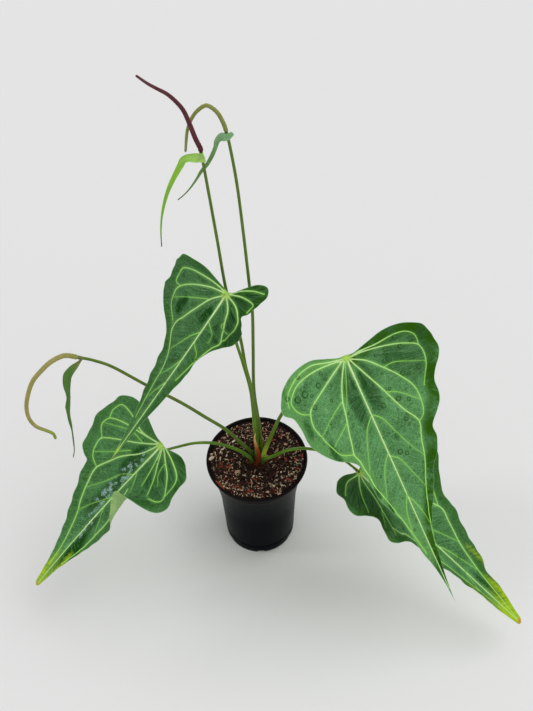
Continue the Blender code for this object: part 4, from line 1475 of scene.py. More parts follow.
@dataclass
class Leaf:
    """One leaf blade: its midrib as a curve through space, and its two halves laid flat."""

    node: str
    name: str
    base: Place
    bend: Place
    tip: Place
    left_fold: Route
    right_fold: Route
    left_margin: Route
    right_margin: Route
    left_main: tuple[Route, ...]
    left_side: tuple[Route, ...]
    right_main: tuple[Route, ...]
    right_side: tuple[Route, ...]
    seat: Seat
    right_curl: Route = ((0, 0), (1, 0))
    wave_phase: float = 0.0
    yellow_from: float = 1000.0
    yellow_full: float = 1001.0
    brown_length: float = 4.0
    left_rim: float = 0.4
    right_rim: float = 0.4
    rim_width: float = 13.0
    dark: Route = ()
    shade: Route = ()
    wet: Route = ()
    yellow: Route = ()
    drops: Route = ()
    drop_scale: float = 1.2
    drop_rise: float = 0.55
    small_drops: int = 40
    seed: int = 1
    rounding: float = 4.0
    thickness: float = 0.5
    cad_thickness: float = 0.9
    vein_depth: float = 0.9
    vein_spread: float = 3.2
    wave_height: float = 3.2
    wave_length: float = 44.0
    wave_reach: float = 80.0
    curl_from: float = 18.0
    ridge: float = 0.28
    puff: float = 1.4
    puff_reach: float = 8.0
    ruffle: float = 0.7
    ruffle_length: float = 17.0
    fill_step: float = 3.3
    edge_step: float = 2.2
    row_step: float = 2.0
    batch: int = 1500

    def __post_init__(self) -> None:
        """Work out the midrib, the veins, the outline and where drops of water lie."""
        t = np.linspace(0, 1, 400)[:, None]
        base, bend, tip = (np.array(point, float) for point in (self.base, self.bend, self.tip))
        self.midrib = (1 - t) ** 2 * base + 2 * t * (1 - t) * bend + t ** 2 * tip
        self.reach = reach_of(self.midrib)
        self.length = float(self.reach[-1])
        left, right = (smooth_route(((-3, 0), *margin, (self.length, 0)), self.edge_step)
                       for margin in (self.left_margin, self.right_margin))
        self.outline = np.concatenate([left, (right * (1, -1))[-2:0:-1]])
        self.lay_veins()
        self.water = [(along, across, radius * self.drop_scale) for along, across, radius in self.drops]
        self.scatter_drops()

    def lay_veins(self) -> None:
        """Lay out each vein as rows of places, with a half width, a strength and a depth at each."""
        along = np.arange(0.0, self.length - 3, self.row_step)
        widths = np.interp(along, (0, 40, self.length), (0.98, 0.5, 0.24))
        self.veins = [(np.column_stack([along, 0 * along]), widths, 1 - 0.3 * along / self.length,
                       self.vein_depth + 0 * along)]
        for routes, sign, kind in ((self.left_main, 1, MAIN_VEIN), (self.left_side, 1, SIDE_VEIN),
                                   (self.right_main, -1, MAIN_VEIN), (self.right_side, -1, SIDE_VEIN)):
            for route in routes:
                line = smooth_route(route, self.row_step) * (1, sign)
                share = np.linspace(0, 1, len(line))
                strength = kind.strength - kind.fading * share
                self.veins.append((line, kind.width - kind.thinning * share, strength,
                                   kind.depth * self.vein_depth + 0 * share))
        starts = np.concatenate([line[:-1] for line, *_ in self.veins])
        runs = np.concatenate([np.diff(line, axis=0) for line, *_ in self.veins])
        others = (np.concatenate([vein[item][:-1] for vein in self.veins]) for item in (1, 2, 3))
        self.segments = (starts, runs, *others)

    def vein_field(self, flat: Array) -> tuple[Array, Array, Array, Array]:
        """Measure how flat places lie to the veins.

        Args:
            flat: the places, as (along, across) rows.

        Returns:
            The distance past the nearest vein's edge, that vein's strength, how far the skin sinks there, and
            the vein's half width.
        """
        starts, runs, sizes, strengths, depths = self.segments
        gaps, strong, sunk, wide = [], [], [], []
        for first in range(0, len(flat), self.batch):
            distance = gaps_to(flat[first:first + self.batch], starts, runs)
            past = distance - sizes
            nearest = past.argmin(1)
            gaps.append(past[np.arange(len(nearest)), nearest])
            strong.append(strengths[nearest])
            wide.append(sizes[nearest])
            sunk.append((depths * np.exp(-(distance / self.vein_spread) ** 2)).max(1))
        gap, strength, sink, width = (np.concatenate(parts) for parts in (gaps, strong, sunk, wide))
        return gap, strength, sink * ease(np.hypot(flat[:, 0], flat[:, 1]), 2, 12), width

    def margin_distance(self, flat: Array) -> Array:
        """Return the distance of flat places from the outline."""
        runs = np.roll(self.outline, -1, axis=0) - self.outline
        return np.concatenate([gaps_to(flat[first:first + self.batch], self.outline, runs).min(1)
                               for first in range(0, len(flat), self.batch)])

    def midrib_point(self, along: Array) -> Array:
        """Return the midrib's place at each distance along it."""
        return np.stack([np.interp(along, self.reach, self.midrib[:, axis]) for axis in range(3)], axis=-1)

    def frame_at(self, along: Array) -> tuple[Array, Array, Array]:
        """Set a frame at places on the midrib.

        Args:
            along: the distances along it.

        Returns:
            The directions along the midrib, to its left and out of the leaf.
        """
        inside = np.clip(along, 0, self.length)
        ahead = self.midrib_point(np.clip(inside + 2, 0, self.length))
        tangent = unit(ahead - self.midrib_point(np.clip(inside - 2, 0, self.length)))
        sideways = unit(np.cross(tangent, [0.0, 0.0, 1.0]))
        return tangent, sideways, np.cross(sideways, tangent)

    def place(self, flat: Array) -> Array:
        """Lay flat places on the leaf's surface.

        Args:
            flat: the places, as (along, across) rows, across positive to the left.

        Returns:
            Places in space.
        """
        along, across = flat[:, 0], np.abs(flat[:, 1])
        left = flat[:, 1] >= 0
        inside = np.clip(along, 0, self.length)
        tangent, sideways, normal = self.frame_at(along)
        fold = np.radians(np.where(left, eased(along, self.left_fold), eased(along, self.right_fold)))
        soft = self.rounding * (1 - np.exp(-across / self.rounding))
        out = across * np.cos(fold) + (1 - np.cos(fold)) * soft
        up = np.sin(fold) * (across - soft)
        curl = np.maximum(np.radians(eased(along, self.right_curl)), 0.00001)
        beyond = np.maximum(across - self.curl_from, 0)
        turn_out = (np.sin(fold + curl * beyond) - np.sin(fold)) / curl - beyond * np.cos(fold)
        turn_up = (np.cos(fold) - np.cos(fold + curl * beyond)) / curl - beyond * np.sin(fold)
        out += np.where(left, 0, turn_out)
        up += np.where(left, 0, turn_up)
        wave = np.sin(2 * math.pi * along / self.wave_length + self.wave_phase + np.where(left, 0, 1.7))
        up += self.wave_height * (across / self.wave_reach) ** 2 * wave
        gap, _, sunk, wide = self.vein_field(flat)
        up -= sunk
        up += self.ridge * np.exp(-(np.maximum(gap + wide, 0) / wide) ** 2) * wide
        up += self.puff * (1 - np.exp(-(np.maximum(gap, 0) / self.puff_reach) ** 2)) * ease(across, 0, 14)
        edge = self.margin_distance(flat)
        ripple = np.sin(2 * math.pi * (along + 0.4 * across) / self.ruffle_length + 3 * self.wave_phase)
        up += self.ruffle * ease(edge, 12, 0) * ease(across, 6, 24) * ripple
        start = self.midrib_point(inside) + (along - inside)[:, None] * tangent
        return start + (out * np.where(left, 1, -1))[:, None] * sideways + up[:, None] * normal

    def seat_places(self) -> tuple[Array, Array, Array]:
        """Lead a petiole to the under side of the blade.

        Returns:
            The petiole's last places.
        """
        place = np.array([self.seat.along])
        tangent, sideways, normal = (direction[0] for direction in self.frame_at(place))
        lean, pitch = math.radians(self.seat.lean), math.radians(self.seat.pitch)
        under = (-normal * math.cos(lean) * math.cos(pitch) + sideways * math.sin(lean)
                 - tangent * math.sin(pitch))
        start = self.midrib_point(place)[0] - normal * (self.vein_depth + self.cad_thickness / 2)
        run = start + under * (self.seat.distance + self.seat.run)
        surface = self.place(np.array([(self.seat.along, 0.0)]))[0]
        return run, start + under * self.seat.distance, surface - normal * 0.3

    def rows(self) -> Array:
        """Set places in rows along every vein.

        Returns:
            The places, each kept only where its own vein is the nearest.
        """
        found = []
        for line, widths, _, _ in self.veins:
            ahead = unit(np.gradient(line, axis=0))
            across = np.column_stack([-ahead[:, 1], ahead[:, 0]])
            for share, extra in ((0, 0), (1, 0), (1, 0.5), (1, 1.8)):
                offset = widths * share + extra
                for sign in ((1, -1) if share else (1,)):
                    row = line + across * (offset * sign)[:, None]
                    gap = self.vein_field(row)[0]
                    found.append(row[np.abs(gap - (offset - widths)) < 0.12])
        return np.concatenate(found)

    def drop_places(self) -> Array:
        """Set places at the middle of each drop and in rings just inside and outside its edge.

        Returns:
            The places.
        """
        ring = circle(12)[1]
        found = []
        for along, across, radius in self.water:
            middle = np.array([(along, across)])
            found += [middle] + [middle + ring * radius * share for share in (0.5, 0.8, 1.05, 1.35)]
        return np.concatenate(found)

    def flat_mesh(self) -> tuple[Array, Array]:
        """Fill the outline with triangles, dense along the veins.

        Returns:
            The flat places, and the triangles as rows of three indices.
        """
        low, high = self.outline.min(0), self.outline.max(0)
        fill = []
        for index, along in enumerate(np.arange(low[0], high[0], self.fill_step * 0.87)):
            across = np.arange(low[1] + (index % 2) * self.fill_step / 2, high[1], self.fill_step)
            fill.append(np.column_stack([np.full(len(across), along), across]))
        fill, extra = np.concatenate(fill), self.drop_places()
        inner = np.concatenate([self.rows(), fill[self.vein_field(fill)[0] > 3.0],
                                extra[self.vein_field(extra)[0] > 0.6]])
        inner = inner[self.margin_distance(inner) > 0.9]
        points = np.concatenate([self.outline, inner])
        count = len(self.outline)
        edges = [(index, (index + 1) % count) for index in range(count)]
        verts, _, faces, _, _, _ = delaunay_2d_cdt([Vector(point) for point in points], edges,
                                                   [list(range(count))], 1, 0.0005)
        used, faces = np.unique(np.array(faces), return_inverse=True)
        return np.array([tuple(verts[index]) for index in used]), faces.reshape(-1, 3)

    def mark_field(self, flat: Array, marks: Route) -> Array:
        """Find how strongly marks show at flat places.

        Args:
            flat: the flat places.
            marks: each mark's place, length, width and strength.

        Returns:
            A share for each place.
        """
        shown = np.zeros(len(flat))
        for along, across, length, width, strength in marks:
            far = np.hypot((flat[:, 0] - along) / length, (flat[:, 1] - across) / width)
            shown = np.maximum(shown, strength * ease(far, 1.15, 0.6))
        return shown

    def damp_field(self, flat: Array) -> Array:
        """Return how dark the skin is made at flat places under and round each drop: partly wet skin, partly
        painted shade.
        """
        far = [np.hypot(*(flat - (along, across)).T) / radius for along, across, radius in self.water]
        return (ease(far, 1.35, 1.0) * (0.08 + 0.66 * ease(far, 0.45, 0.9))).max(0)

    def weft(self, flat: Array) -> Array:
        """Set places in a weave that fans out from the base and then runs with the side veins.

        Args:
            flat: the flat places.

        Returns:
            A place in the weave for each.
        """
        along, across = flat[:, 0], np.abs(flat[:, 1])
        share = ease(along, 20, 60)
        beside = 45 * np.arctan2(across, along) * (1 - share) + (0.77 * along - 0.64 * across) * share
        forward = np.hypot(along, across)
        return np.column_stack([beside, 0.06 * forward, np.where(flat[:, 1] > 0, 7.0, 31.0) + 60 * self.seed])

    def skin_values(self, flat: Array) -> dict[str, Array]:
        """Work out what the blade's finishes follow.

        Args:
            flat: the flat places.

        Returns:
            The named values and vectors at each place.
        """
        along = flat[:, 0]
        from_base = np.hypot(along, flat[:, 1])
        gap, strength, _, _ = self.vein_field(flat)
        edge = self.margin_distance(flat)
        # A darker margin band, partly the leaf's own colour and partly painted shade where the margin folds
        # down; a negative rim value gives a paler band.
        rim = ease(edge, self.rim_width, 0.4 * self.rim_width)
        rim *= np.where(flat[:, 1] > 0, self.left_rim, self.right_rim)
        shade = 0.55 * ease(from_base, 52, 6) * ease(gap, 0.8, 5)
        yellow = ease(along, self.yellow_from, self.yellow_full) + self.mark_field(flat, self.yellow)
        return {
            "weft": self.weft(flat),
            "rim_dark": np.maximum(rim, 0),
            "rim_pale": np.maximum(-rim, 0),
            "shade": np.maximum(self.mark_field(flat, self.shade), shade),
            "damp": self.damp_field(flat),
            "joint": ease(from_base, 8, 1.5),
            "grain": np.column_stack([flat, np.full(len(flat), 60.0 * self.seed)]),
            "vein_gap": gap,
            "vein_strength": strength,
            "margin": edge,
            "yellow": np.clip(yellow, 0, 1),
            "brown": ease(along, self.length - self.brown_length, self.length - 0.35 * self.brown_length),
            "dark": self.mark_field(flat, self.dark),
            "wet": self.mark_field(flat, self.wet),
        }

    def build_blade(self, upper: Material, under: Material) -> None:
        """Make the blade: a fine upper skin, an under skin with raised veins, and a thin edge.

        Args:
            upper: the material of the upper skin.
            under: the material of the under skin.
        """
        flat, faces = self.flat_mesh()
        top = self.place(flat)
        faces = faces[:, ::-1]
        corners = top[faces]
        area = np.cross(corners[:, 1] - corners[:, 0], corners[:, 2] - corners[:, 0])
        normal = np.zeros_like(top)
        for corner in range(3):
            np.add.at(normal, faces[:, corner], area)
        values = self.skin_values(flat)
        edge, wide = values["margin"], self.vein_field(flat)[3]
        rib = 0.75 * wide * values["vein_strength"]
        rib *= np.exp(-(np.maximum(values["vein_gap"] + wide, 0) / (wide * 1.2)) ** 2)
        thick = self.thickness * (0.45 + 0.55 * ease(edge, 0, 3)) + rib * ease(edge, 0, 5)
        bottom = top - unit(normal) * thick[:, None]
        count = len(top)
        sides = {tuple(side) for pair in ([0, 1], [1, 2], [2, 0]) for side in faces[:, pair].tolist()}
        walls = sorted([b, a, a + count, b + count] for a, b in sides if (b, a) not in sides)
        kinds = np.repeat([0, 1, 0], [len(faces), len(faces), len(walls)])
        values = {key: np.concatenate([value, value]) for key, value in values.items()}
        skin = Skin(np.concatenate([top, bottom]), faces.tolist() + (faces[:, ::-1] + count).tolist() + walls,
                    values, kinds)
        skin.piece(self.name, [upper, under], Slot.BLADE, self.node, smooth=60.0)

    def drop(self, along: float, across: float, radius: float) -> Skin:
        """Make one drop of water that sits on the blade.

        Args:
            along: its place along the midrib.
            across: its place to the left of the midrib.
            radius: its radius.

        Returns:
            Its closed skin.
        """
        near = np.array([(along, across), (along + 1, across), (along, across + 1)])
        middle, ahead, beside = self.place(near)
        out = unit(np.cross(beside - middle, ahead - middle))
        along_skin = unit(ahead - middle)
        side = np.cross(out, along_skin)
        around = 14
        points = []
        for share, height, _ in DROP_LEVELS:
            lift = height * out * self.drop_rise
            points += [middle + radius * (share * (x * side + y * along_skin * 1.12) + lift)
                       for x, y in circle(around)[1]]
        points.append(middle + radius * 0.69 * self.drop_rise * out)
        faces = quads_between(len(DROP_LEVELS), around)
        last = (len(DROP_LEVELS) - 1) * around
        faces += [[last + step, last + (step + 1) % around, len(points) - 1] for step in range(around)]
        faces.append(list(range(around))[::-1])
        low = np.append(np.repeat([level[2] for level in DROP_LEVELS], around), 0.0)
        return Skin(np.array(points), faces, {"low": low, "grain": np.array(points)})

    def scatter_drops(self) -> None:
        """Add small drops over the blade, clear of its veins, its margin and each other."""
        draw = random.Random(self.seed)
        wanted = len(self.water) + self.small_drops
        while len(self.water) < wanted:
            along, across = draw.uniform(2, self.length * 0.8), draw.uniform(-85, 85)
            radius = draw.uniform(0.8, 1.7)
            here = np.array([(along, across)])
            free = min((math.hypot(along - x, across - y) - size for x, y, size in self.water), default=9.0)
            if (self.holds(here[0]) and self.margin_distance(here)[0] > 4 and free > radius + 0.6
                    and self.vein_field(here)[0][0] > radius):
                self.water.append((along, across, radius))

    def holds(self, place: Array) -> bool:
        """Tell whether a flat place lies inside the outline.

        Args:
            place: the place.

        Returns:
            Whether it does.
        """
        start, end = self.outline, np.roll(self.outline, -1, axis=0)
        between = (start[:, 1] > place[1]) != (end[:, 1] > place[1])
        rise = np.where(end[:, 1] == start[:, 1], 1e-9, end[:, 1] - start[:, 1])
        at = start[:, 0] + (place[1] - start[:, 1]) * (end[:, 0] - start[:, 0]) / rise
        return bool(np.count_nonzero(between & (place[0] < at)) % 2)

    def build_drops(self, water: Material) -> None:
        """Set the drops of water that lie on the blade."""
        drops = Skin.joined([self.drop(*drop) for drop in self.water])
        drops.piece(self.name + "_drops", [water], Slot.BLADE, smooth=80.0)


@dataclass
class Studio:
    """The plain floor, the soft lights and the camera at the photograph's angle."""

    floor_size: float = 9.0
    lens: float = 50.633
    sensor: float = 36.0
    pitch: float = 50.42
    roll: float = -1.95
    eye: Place = (0.0155, -0.6573, 1.1330)
    sky: float = 0.595

    def build_floor(self) -> None:
        """Lay the floor under the pot."""
        bm = bmesh.new()
        bmesh.ops.create_grid(bm, x_segments=8, y_segments=8, size=self.floor_size / 2)
        mesh = bpy.data.meshes.new("floor")
        bm.to_mesh(mesh)
        bm.free()
        mesh.materials.append(FloorFinish().material())
        floor = linked("floor", mesh)
        floor.location.z = -0.0002

    def add_sun(self, name: str, azimuth: float, elevation: float, strength: float, spread: float) -> None:
        """Hang a broad soft light far away.

        Args:
            name: the light's name.
            azimuth: the way that it lies, in degrees from the X axis towards the Y axis.
            elevation: its height over the floor in degrees.
            strength: its strength.
            spread: how wide it is seen, in degrees.
        """
        data = bpy.data.lights.new(name, "SUN")
        data.energy = strength
        data.angle = math.radians(spread)
        turn, rise = math.radians(azimuth), math.radians(elevation)
        towards = Vector((math.cos(turn) * math.cos(rise), math.sin(turn) * math.cos(rise), math.sin(rise)))
        linked(name, data).rotation_euler = towards.to_track_quat("Z", "Y").to_euler()

    def build_lights(self) -> None:
        """Set a pale sky, a broad light high at the right, and low soft ones in front and at the left."""
        world = bpy.data.worlds.new("studio_sky")
        world.use_nodes = True
        world.node_tree.nodes["Background"].inputs["Color"].default_value = (1.0, 1.0, 1.0, 1.0)
        world.node_tree.nodes["Background"].inputs["Strength"].default_value = self.sky
        bpy.context.scene.world = world
        self.add_sun("key", 10.0, 60.0, 1.0, 45.0)
        self.add_sun("front_sheen", -33.0, 30.0, 0.25, 40.0)
        self.add_sun("left_glint", 178.0, 22.0, 0.5, 12.0)

    def build_camera(self) -> None:
        """Set the camera and the plain view of colours."""
        data = bpy.data.cameras.new("camera")
        data.lens = self.lens
        data.sensor_width = self.sensor
        data.sensor_fit = "AUTO"
        camera = linked("camera", data)
        pitch, roll = math.radians(self.pitch), math.radians(self.roll)
        ahead = Vector((0, math.cos(pitch), -math.sin(pitch)))
        right = Vector((1, 0, 0))
        up = right.cross(ahead)
        across = right * math.cos(roll) + up * math.sin(roll)
        upward = up * math.cos(roll) - right * math.sin(roll)
        turn = Matrix((across, upward, -ahead)).transposed().to_4x4()
        turn.translation = self.eye
        camera.matrix_world = turn
        bpy.context.scene.camera = camera
        bpy.context.scene.view_settings.view_transform = "Standard"

    def build(self) -> None:
        """Make the whole studio."""
        self.build_floor()
        self.build_lights()
        self.build_camera()


RIGHT_LEAF = Leaf(
    node="leaf_blade_right", name="blade_right", base=(99, 8, 320), bend=(145, -87, 255),
    tip=(210, -181, 130), left_fold=((0, 13), (290, 13)),
    right_fold=((0, 8), (150, 8), (230, -20), (290, -50)),
    left_margin=(
        (-3, 9), (-7, 24), (-11, 41), (-8, 60), (0, 78), (11, 91), (27, 96), (36, 87), (55, 86), (69, 81),
        (88, 65), (98, 48), (108, 39), (126, 37), (144, 36), (160, 29), (178, 20), (197, 16), (220, 13),
        (244, 6), (268, 1.6)),
    right_margin=(
        (-2, 10), (-7, 28), (-12, 48), (-11, 68), (-3, 86), (9, 95), (23, 98), (38, 91), (52, 82), (78, 75),
        (90, 67), (104, 57), (117, 55), (130, 49), (147, 38), (168, 29), (190, 19), (215, 10), (240, 5),
        (267, 1.6)),
    left_main=(
        ((0, 4), (-3, 24), (-6, 41), (-3, 58), (5, 74), (14, 84), (24, 86)),
        ((2, 4), (0, 20), (1, 45), (7, 68), (18, 81), (26, 81), (34, 76), (38, 67)),
        ((2, 6), (13, 27), (24, 47), (32, 61), (38, 67), (50, 71), (63, 66), (76, 60), (87, 54), (93, 40)),
        ((3, 4), (21, 16), (39, 25), (54, 29), (68, 33), (83, 37), (93, 40), (102, 37), (118, 34), (135, 32),
         (152, 26), (174, 20), (197, 14), (225, 8))),
    left_side=(
        ((39, 25), (48, 43), (62, 66)), ((61, 31), (77, 57)),
        ((3, 2.2), (14, 7.5), (27, 13.5), (40, 20), (50, 26), (54, 29)),
        ((66, 0), (76, 11), (91, 20), (122, 33)), ((109, 0), (123, 13), (151, 26)),
        ((158, 0), (174, 9), (199, 14))),
    right_main=(
        ((1, 3), (-1, 17), (-1, 35), (-3, 56), (-1, 70), (7, 79), (19, 80)),
        ((1, 4), (1, 21), (5, 47), (11, 67), (19, 80), (35, 78), (61, 67)),
        ((3, 4), (11, 19), (25, 33), (41, 46), (61, 57), (86, 53), (94, 45)),
        ((4, 3), (23, 12), (49, 24), (75, 35), (94, 45), (114, 39), (136, 33), (161, 23), (186, 16),
         (225, 7))),
    right_side=(
        ((25, 33), (25, 48), (37, 77)), ((50, 25), (57, 39), (73, 56)),
        ((65, 0), (75, 10), (93, 17), (115, 27), (129, 35)), ((113, 0), (121, 9), (140, 16), (160, 23)),
        ((160, 0), (177, 7), (200, 12))),
    left_rim=-0.6, right_rim=1.0, rim_width=16.0, seat=Seat(2.0, 0.0, 0.0, 0.9), wave_phase=0.6,
    brown_length=6.0, seed=1, small_drops=46,
    dark=(
        (84, 60, 16, 5, 0.8), (140, 33, 9, 4, 0.9), (160, 25, 9, 3, 0.9), (40, -6, 28, 4, 0.4),
        (2, 88, 12, 5, 0.5), (22, -40, 16, 3, 0.4), (266, 0, 34, 12, 0.8), (50, 78, 12, 5, 0.7)),
    shade=((42, 11, 44, 10, 0.75), (36, -11, 34, 9, 0.7), (6, -64, 46, 36, 0.6)),
    drops=(
        (20, 74, 2.6), (18, 64, 2.8), (15, 45, 2.4), (11, 60, 1.6), (0, 63, 1.7), (15, 85, 2.0),
        (33, 59, 2.0), (22, 57, 1.4), (34, 38, 1.3), (5, 36, 1.5), (54, 50, 1.4), (0, -57, 2.0),
        (12, -59, 2.0), (8, -43, 1.9), (19, -37, 1.8), (21, -43, 1.4), (39, -49, 2.0), (42, -54, 1.5),
        (62, -34, 2.2), (67, -44, 1.7), (46, -7, 1.9), (62, -15, 2.1), (85, -32, 2.0), (97, -16, 1.9),
        (114, -12, 2.1), (118, -18, 1.8), (148, -37, 2.2), (181, -15, 1.6), (10, -30, 1.4), (40, -67, 2.0),
        (24, -5, 1.5)),
)

UPPER_LEAF = Leaf(
    node="leaf_blade_upper", name="blade_upper", base=(-23, 30, 400), bend=(-68, 0, 343),
    tip=(-159, -42, 220),
    left_fold=((0, 10), (60, -2), (120, -7), (180, -3), (237, 1)),
    right_fold=((-30, -86), (0, -70), (17, -52), (45, -80), (75, -55), (120, -48), (237, -40)),
    left_margin=(
        (-4, 12), (-7, 33), (-5, 52), (-2, 65), (6, 69.5), (15, 74), (22.5, 74), (30, 72.5), (36, 73),
        (43, 75), (53, 78.5), (63, 73.5), (69.5, 64.5), (74, 54.5), (78.5, 46.5), (86, 39), (94, 34.5),
        (102, 33), (110, 31.5), (121, 28), (136, 24), (151.5, 19), (165, 14), (180, 10), (198, 6), (218, 3)),
    right_margin=(
        (-5, 5), (-14, 15), (-22, 30), (-23, 44), (-16, 50), (-6, 42), (6, 35), (13, 28), (22, 35), (40, 49),
        (50, 46), (56, 33), (64, 22), (77, 15), (97, 15), (118, 13), (146, 10), (175, 6), (210, 3)),
    left_main=(
        ((-1, 3), (0, 23), (5, 47), (13, 62), (24, 65), (32, 63), (32, 57)),
        ((0, 2), (7, 22), (20, 43), (33, 56), (47, 60), (59, 60), (69, 44)),
        ((2, 1), (16, 13), (36, 23), (54, 32), (66, 38), (78, 36), (95, 24), (111, 18), (123, 16), (145, 13),
         (178, 7))),
    left_side=(
        ((18, 16), (34, 39), (49, 58)), ((49, 0), (62, 9), (77, 16), (94, 24)),
        ((86, 0), (104, 6), (122, 16)), ((118, 0), (136, 6), (152, 11))),
    right_main=(
        ((-2, 3), (-10, 12), (-15, 27), (-16, 43)), ((-2, 3), (-5, 16), (-4, 29), (-1, 34), (7, 31)),
        ((0, 3), (6, 16), (16, 25), (31, 31), (45, 33), (50, 29)),
        ((1, 2), (13, 11), (26, 16), (50, 28), (60, 21), (78, 14), (110, 8))),
    right_side=(
        ((34, 0), (38, 6), (47, 15), (56, 15)), ((62, 0), (66, 5), (72, 11), (79, 12)),
        ((26, 16), (33, 17), (40, 30))),
    seat=Seat(2.0, 35.0, 0.0, 1.9), wave_phase=2.1, yellow_from=212.0, yellow_full=230.0, brown_length=8.0,
    seed=2, small_drops=12, left_rim=0.45, right_rim=0.5, rim_width=9.0,
    dark=((50, 44, 11, 7, 1.0), (40, 40, 7, 5, 1.0), (34, 7, 10, 5, 1.0), (26, 5, 6, 4, 1.0)),
    shade=((22, 30, 26, 26, 0.25), (0, -30, 34, 30, 0.95), (34, -30, 34, 26, 0.75), (60, 10, 150, 90, 0.5)),
    drops=((54, 46, 1.7), (47, 40, 1.4), (38, 8, 1.5), (30, 5, 1.3), (79, -12, 1.4)),
)

LOW_LEFT_LEAF = Leaf(
    node="leaf_blade_low_left", name="blade_low_left", base=(-107, -13, 200), bend=(-185, -76, 160),
    tip=(-265, -108, 60), left_fold=((0, 27), (234, 27)),
    right_fold=((0, 18), (60, 24), (117, 8), (175, -30), (234, -50)),
    left_margin=(
        (-4, 12), (-12, 32), (-18, 50), (-15, 64), (-5, 74), (16, 77), (37, 73), (58, 68), (67, 57), (71, 49),
        (85, 47), (98, 41), (114, 34), (130, 28), (150, 20), (175, 13), (201, 8), (220, 5), (231, 3.5)),
    right_margin=(
        (-2, 7), (-7, 27), (-8, 40), (-3, 55), (6, 69), (20, 74), (34, 82), (43, 80), (50, 68), (56, 55),
        (66, 47), (80, 42), (92, 36), (104, 32), (124, 28), (146, 20), (167, 14), (186, 10), (214, 6),
        (231, 3.5)),
    left_main=(
        ((0, 4), (4, 28), (-2, 51), (-2, 66), (8, 70), (18, 65)),
        ((0, 4), (6, 29), (9, 44), (17, 63), (30, 65), (41, 56)),
        ((1, 4), (16, 22), (29, 41), (41, 56), (52, 56), (63, 49), (69, 37)),
        ((3, 3), (22, 11), (40, 25), (55, 32), (70, 37), (88, 34), (108, 27), (123, 20), (142, 14), (168, 8),
         (200, 5))),
    left_side=(
        ((45, 0), (55, 11), (74, 19), (95, 31)), ((80, 0), (89, 5), (104, 13), (122, 20)),
        ((12, 17), (12, 38), (26, 64)), ((28, 22), (39, 32), (57, 50))),
    right_main=(
        ((-2, 6), (3, 32), (9, 53), (17, 62), (30, 64)),
        ((0, 5), (9, 24), (17, 44), (31, 64), (39, 63), (45, 49)), ((2, 4), (15, 15), (27, 28), (44, 43)),
        ((4, 4), (25, 15), (44, 24)), ((60, 10), (80, 17), (99, 20), (123, 19), (143, 16), (185, 8))),
    right_side=(
        ((39, 0), (50, 10), (59, 18)), ((9, 24), (22, 30), (30, 44)), ((70, 0), (80, 8), (92, 19)),
        ((95, 0), (108, 8), (124, 18))),
    seat=Seat(2.0, 0.0, 0.0, 0.9),
    right_curl=((48, 0), (66, 4.5), (84, 4.1), (104, 0)), wave_phase=4.0, yellow_from=170.0,
    yellow_full=256.0, brown_length=5.0, seed=3, small_drops=30, left_rim=0.3, right_rim=0.35,
    wet=((66, 8, 62, 7, 1.0), (128, -2, 26, 4, 0.9)),
    dark=((34, 13, 28, 7, 0.8), (90, 11, 34, 5, 0.7), (120, -6, 22, 4, 0.7), (162, -8, 40, 8, 1.0)),
    shade=((20, -45, 44, 40, 0.7), (50, 10, 110, 90, 0.35)),
    yellow=((200, 5, 30, 2, 0.45), (192, -9, 34, 2.4, 0.55)),
    drops=(
        (30, 9, 1.7), (38, 10, 1.3), (46, 9, 1.6), (52, 7, 1.4), (59, 4, 1.6), (74, 6, 1.6), (69, 8, 1.5),
        (80, 5, 1.2), (87, 8, 1.7), (93, 7, 1.2), (99, 7, 1.4), (103, 6, 1.5), (113, 3, 1.4), (113, -3, 1.5),
        (126, -2, 1.2), (128, -5, 1.4), (137, -5, 1.3), (64, 11, 1.2), (55, 11, 1.1), (42, 5, 1.2)),
)

LOW_RIGHT_LEAF = Leaf(
    node="leaf_blade_low_right", name="blade_low_right", base=(116, -45, 180), bend=(198, -116, 137),
    tip=(299, -167, 40), left_fold=((0, 37), (262, 35)), right_fold=((0, 12), (130, 17), (262, 20)),
    left_margin=(
        (-5, 8), (-12, 31), (-13, 53), (-6, 70), (5, 72), (13, 86), (21, 84), (30, 65), (38, 53), (47, 54),
        (54, 68), (61, 75), (69, 66), (79, 46), (90, 36), (108, 37), (127, 34), (146, 26), (167, 24),
        (182, 18), (200, 16), (220, 14), (243, 9), (258, 5)),
    right_margin=(
        (-5, 10), (-10, 30), (-10, 52), (-2, 70), (12, 80), (30, 84), (53, 78), (69, 65), (90, 48), (110, 46),
        (125, 39), (144, 32), (169, 26), (188, 17), (206, 16), (226, 12), (246, 7), (259, 4)),
    left_main=(
        ((0, 4), (-4, 35), (3, 61)), ((1, 3), (16, 35), (31, 54)), ((4, 3), (35, 20), (60, 43), (66, 52)),
        ((60, 43), (72, 38), (80, 30), (110, 25), (141, 18), (191, 9), (227, 6))),
    left_side=(
        ((40, 22), (46, 36), (54, 54)), ((52, 0), (74, 12), (92, 27)), ((98, 0), (118, 9), (140, 17)),
        ((166, 0), (191, 8), (227, 6))),
    right_main=(
        ((1, 5), (8, 40), (25, 66), (45, 66)), ((3, 4), (35, 33), (60, 52), (93, 35)),
        ((4, 3), (50, 18), (93, 35), (113, 31), (139, 21), (165, 15), (186, 11), (223, 6), (255, 1))),
    right_side=(
        ((90, 0), (108, 11), (139, 21)), ((120, 0), (138, 5), (179, 12)), ((50, 0), (70, 14), (93, 35))),
    seat=Seat(-3.0, 0.0, 90.0, 0.8), wave_phase=5.2, yellow_from=192.0, yellow_full=258.0, brown_length=7.0,
    seed=4, small_drops=22, left_rim=0.7, right_rim=0.6,
    yellow=((176, -23.5, 34, 2.4, 0.45), (222, -12.5, 38, 3.4, 0.5), (200, 16.5, 38, 2.0, 0.6)),
    shade=((150, 0, 90, 60, 0.25), (20, 45, 46, 42, 0.75), (25, -45, 60, 48, 0.75)),
    dark=((204, -5.5, 34, 3, 0.9),),
    drops=((60, 64, 1.7), (66, 58, 1.3), (20, 70, 1.5), (150, -8, 1.2)),
)
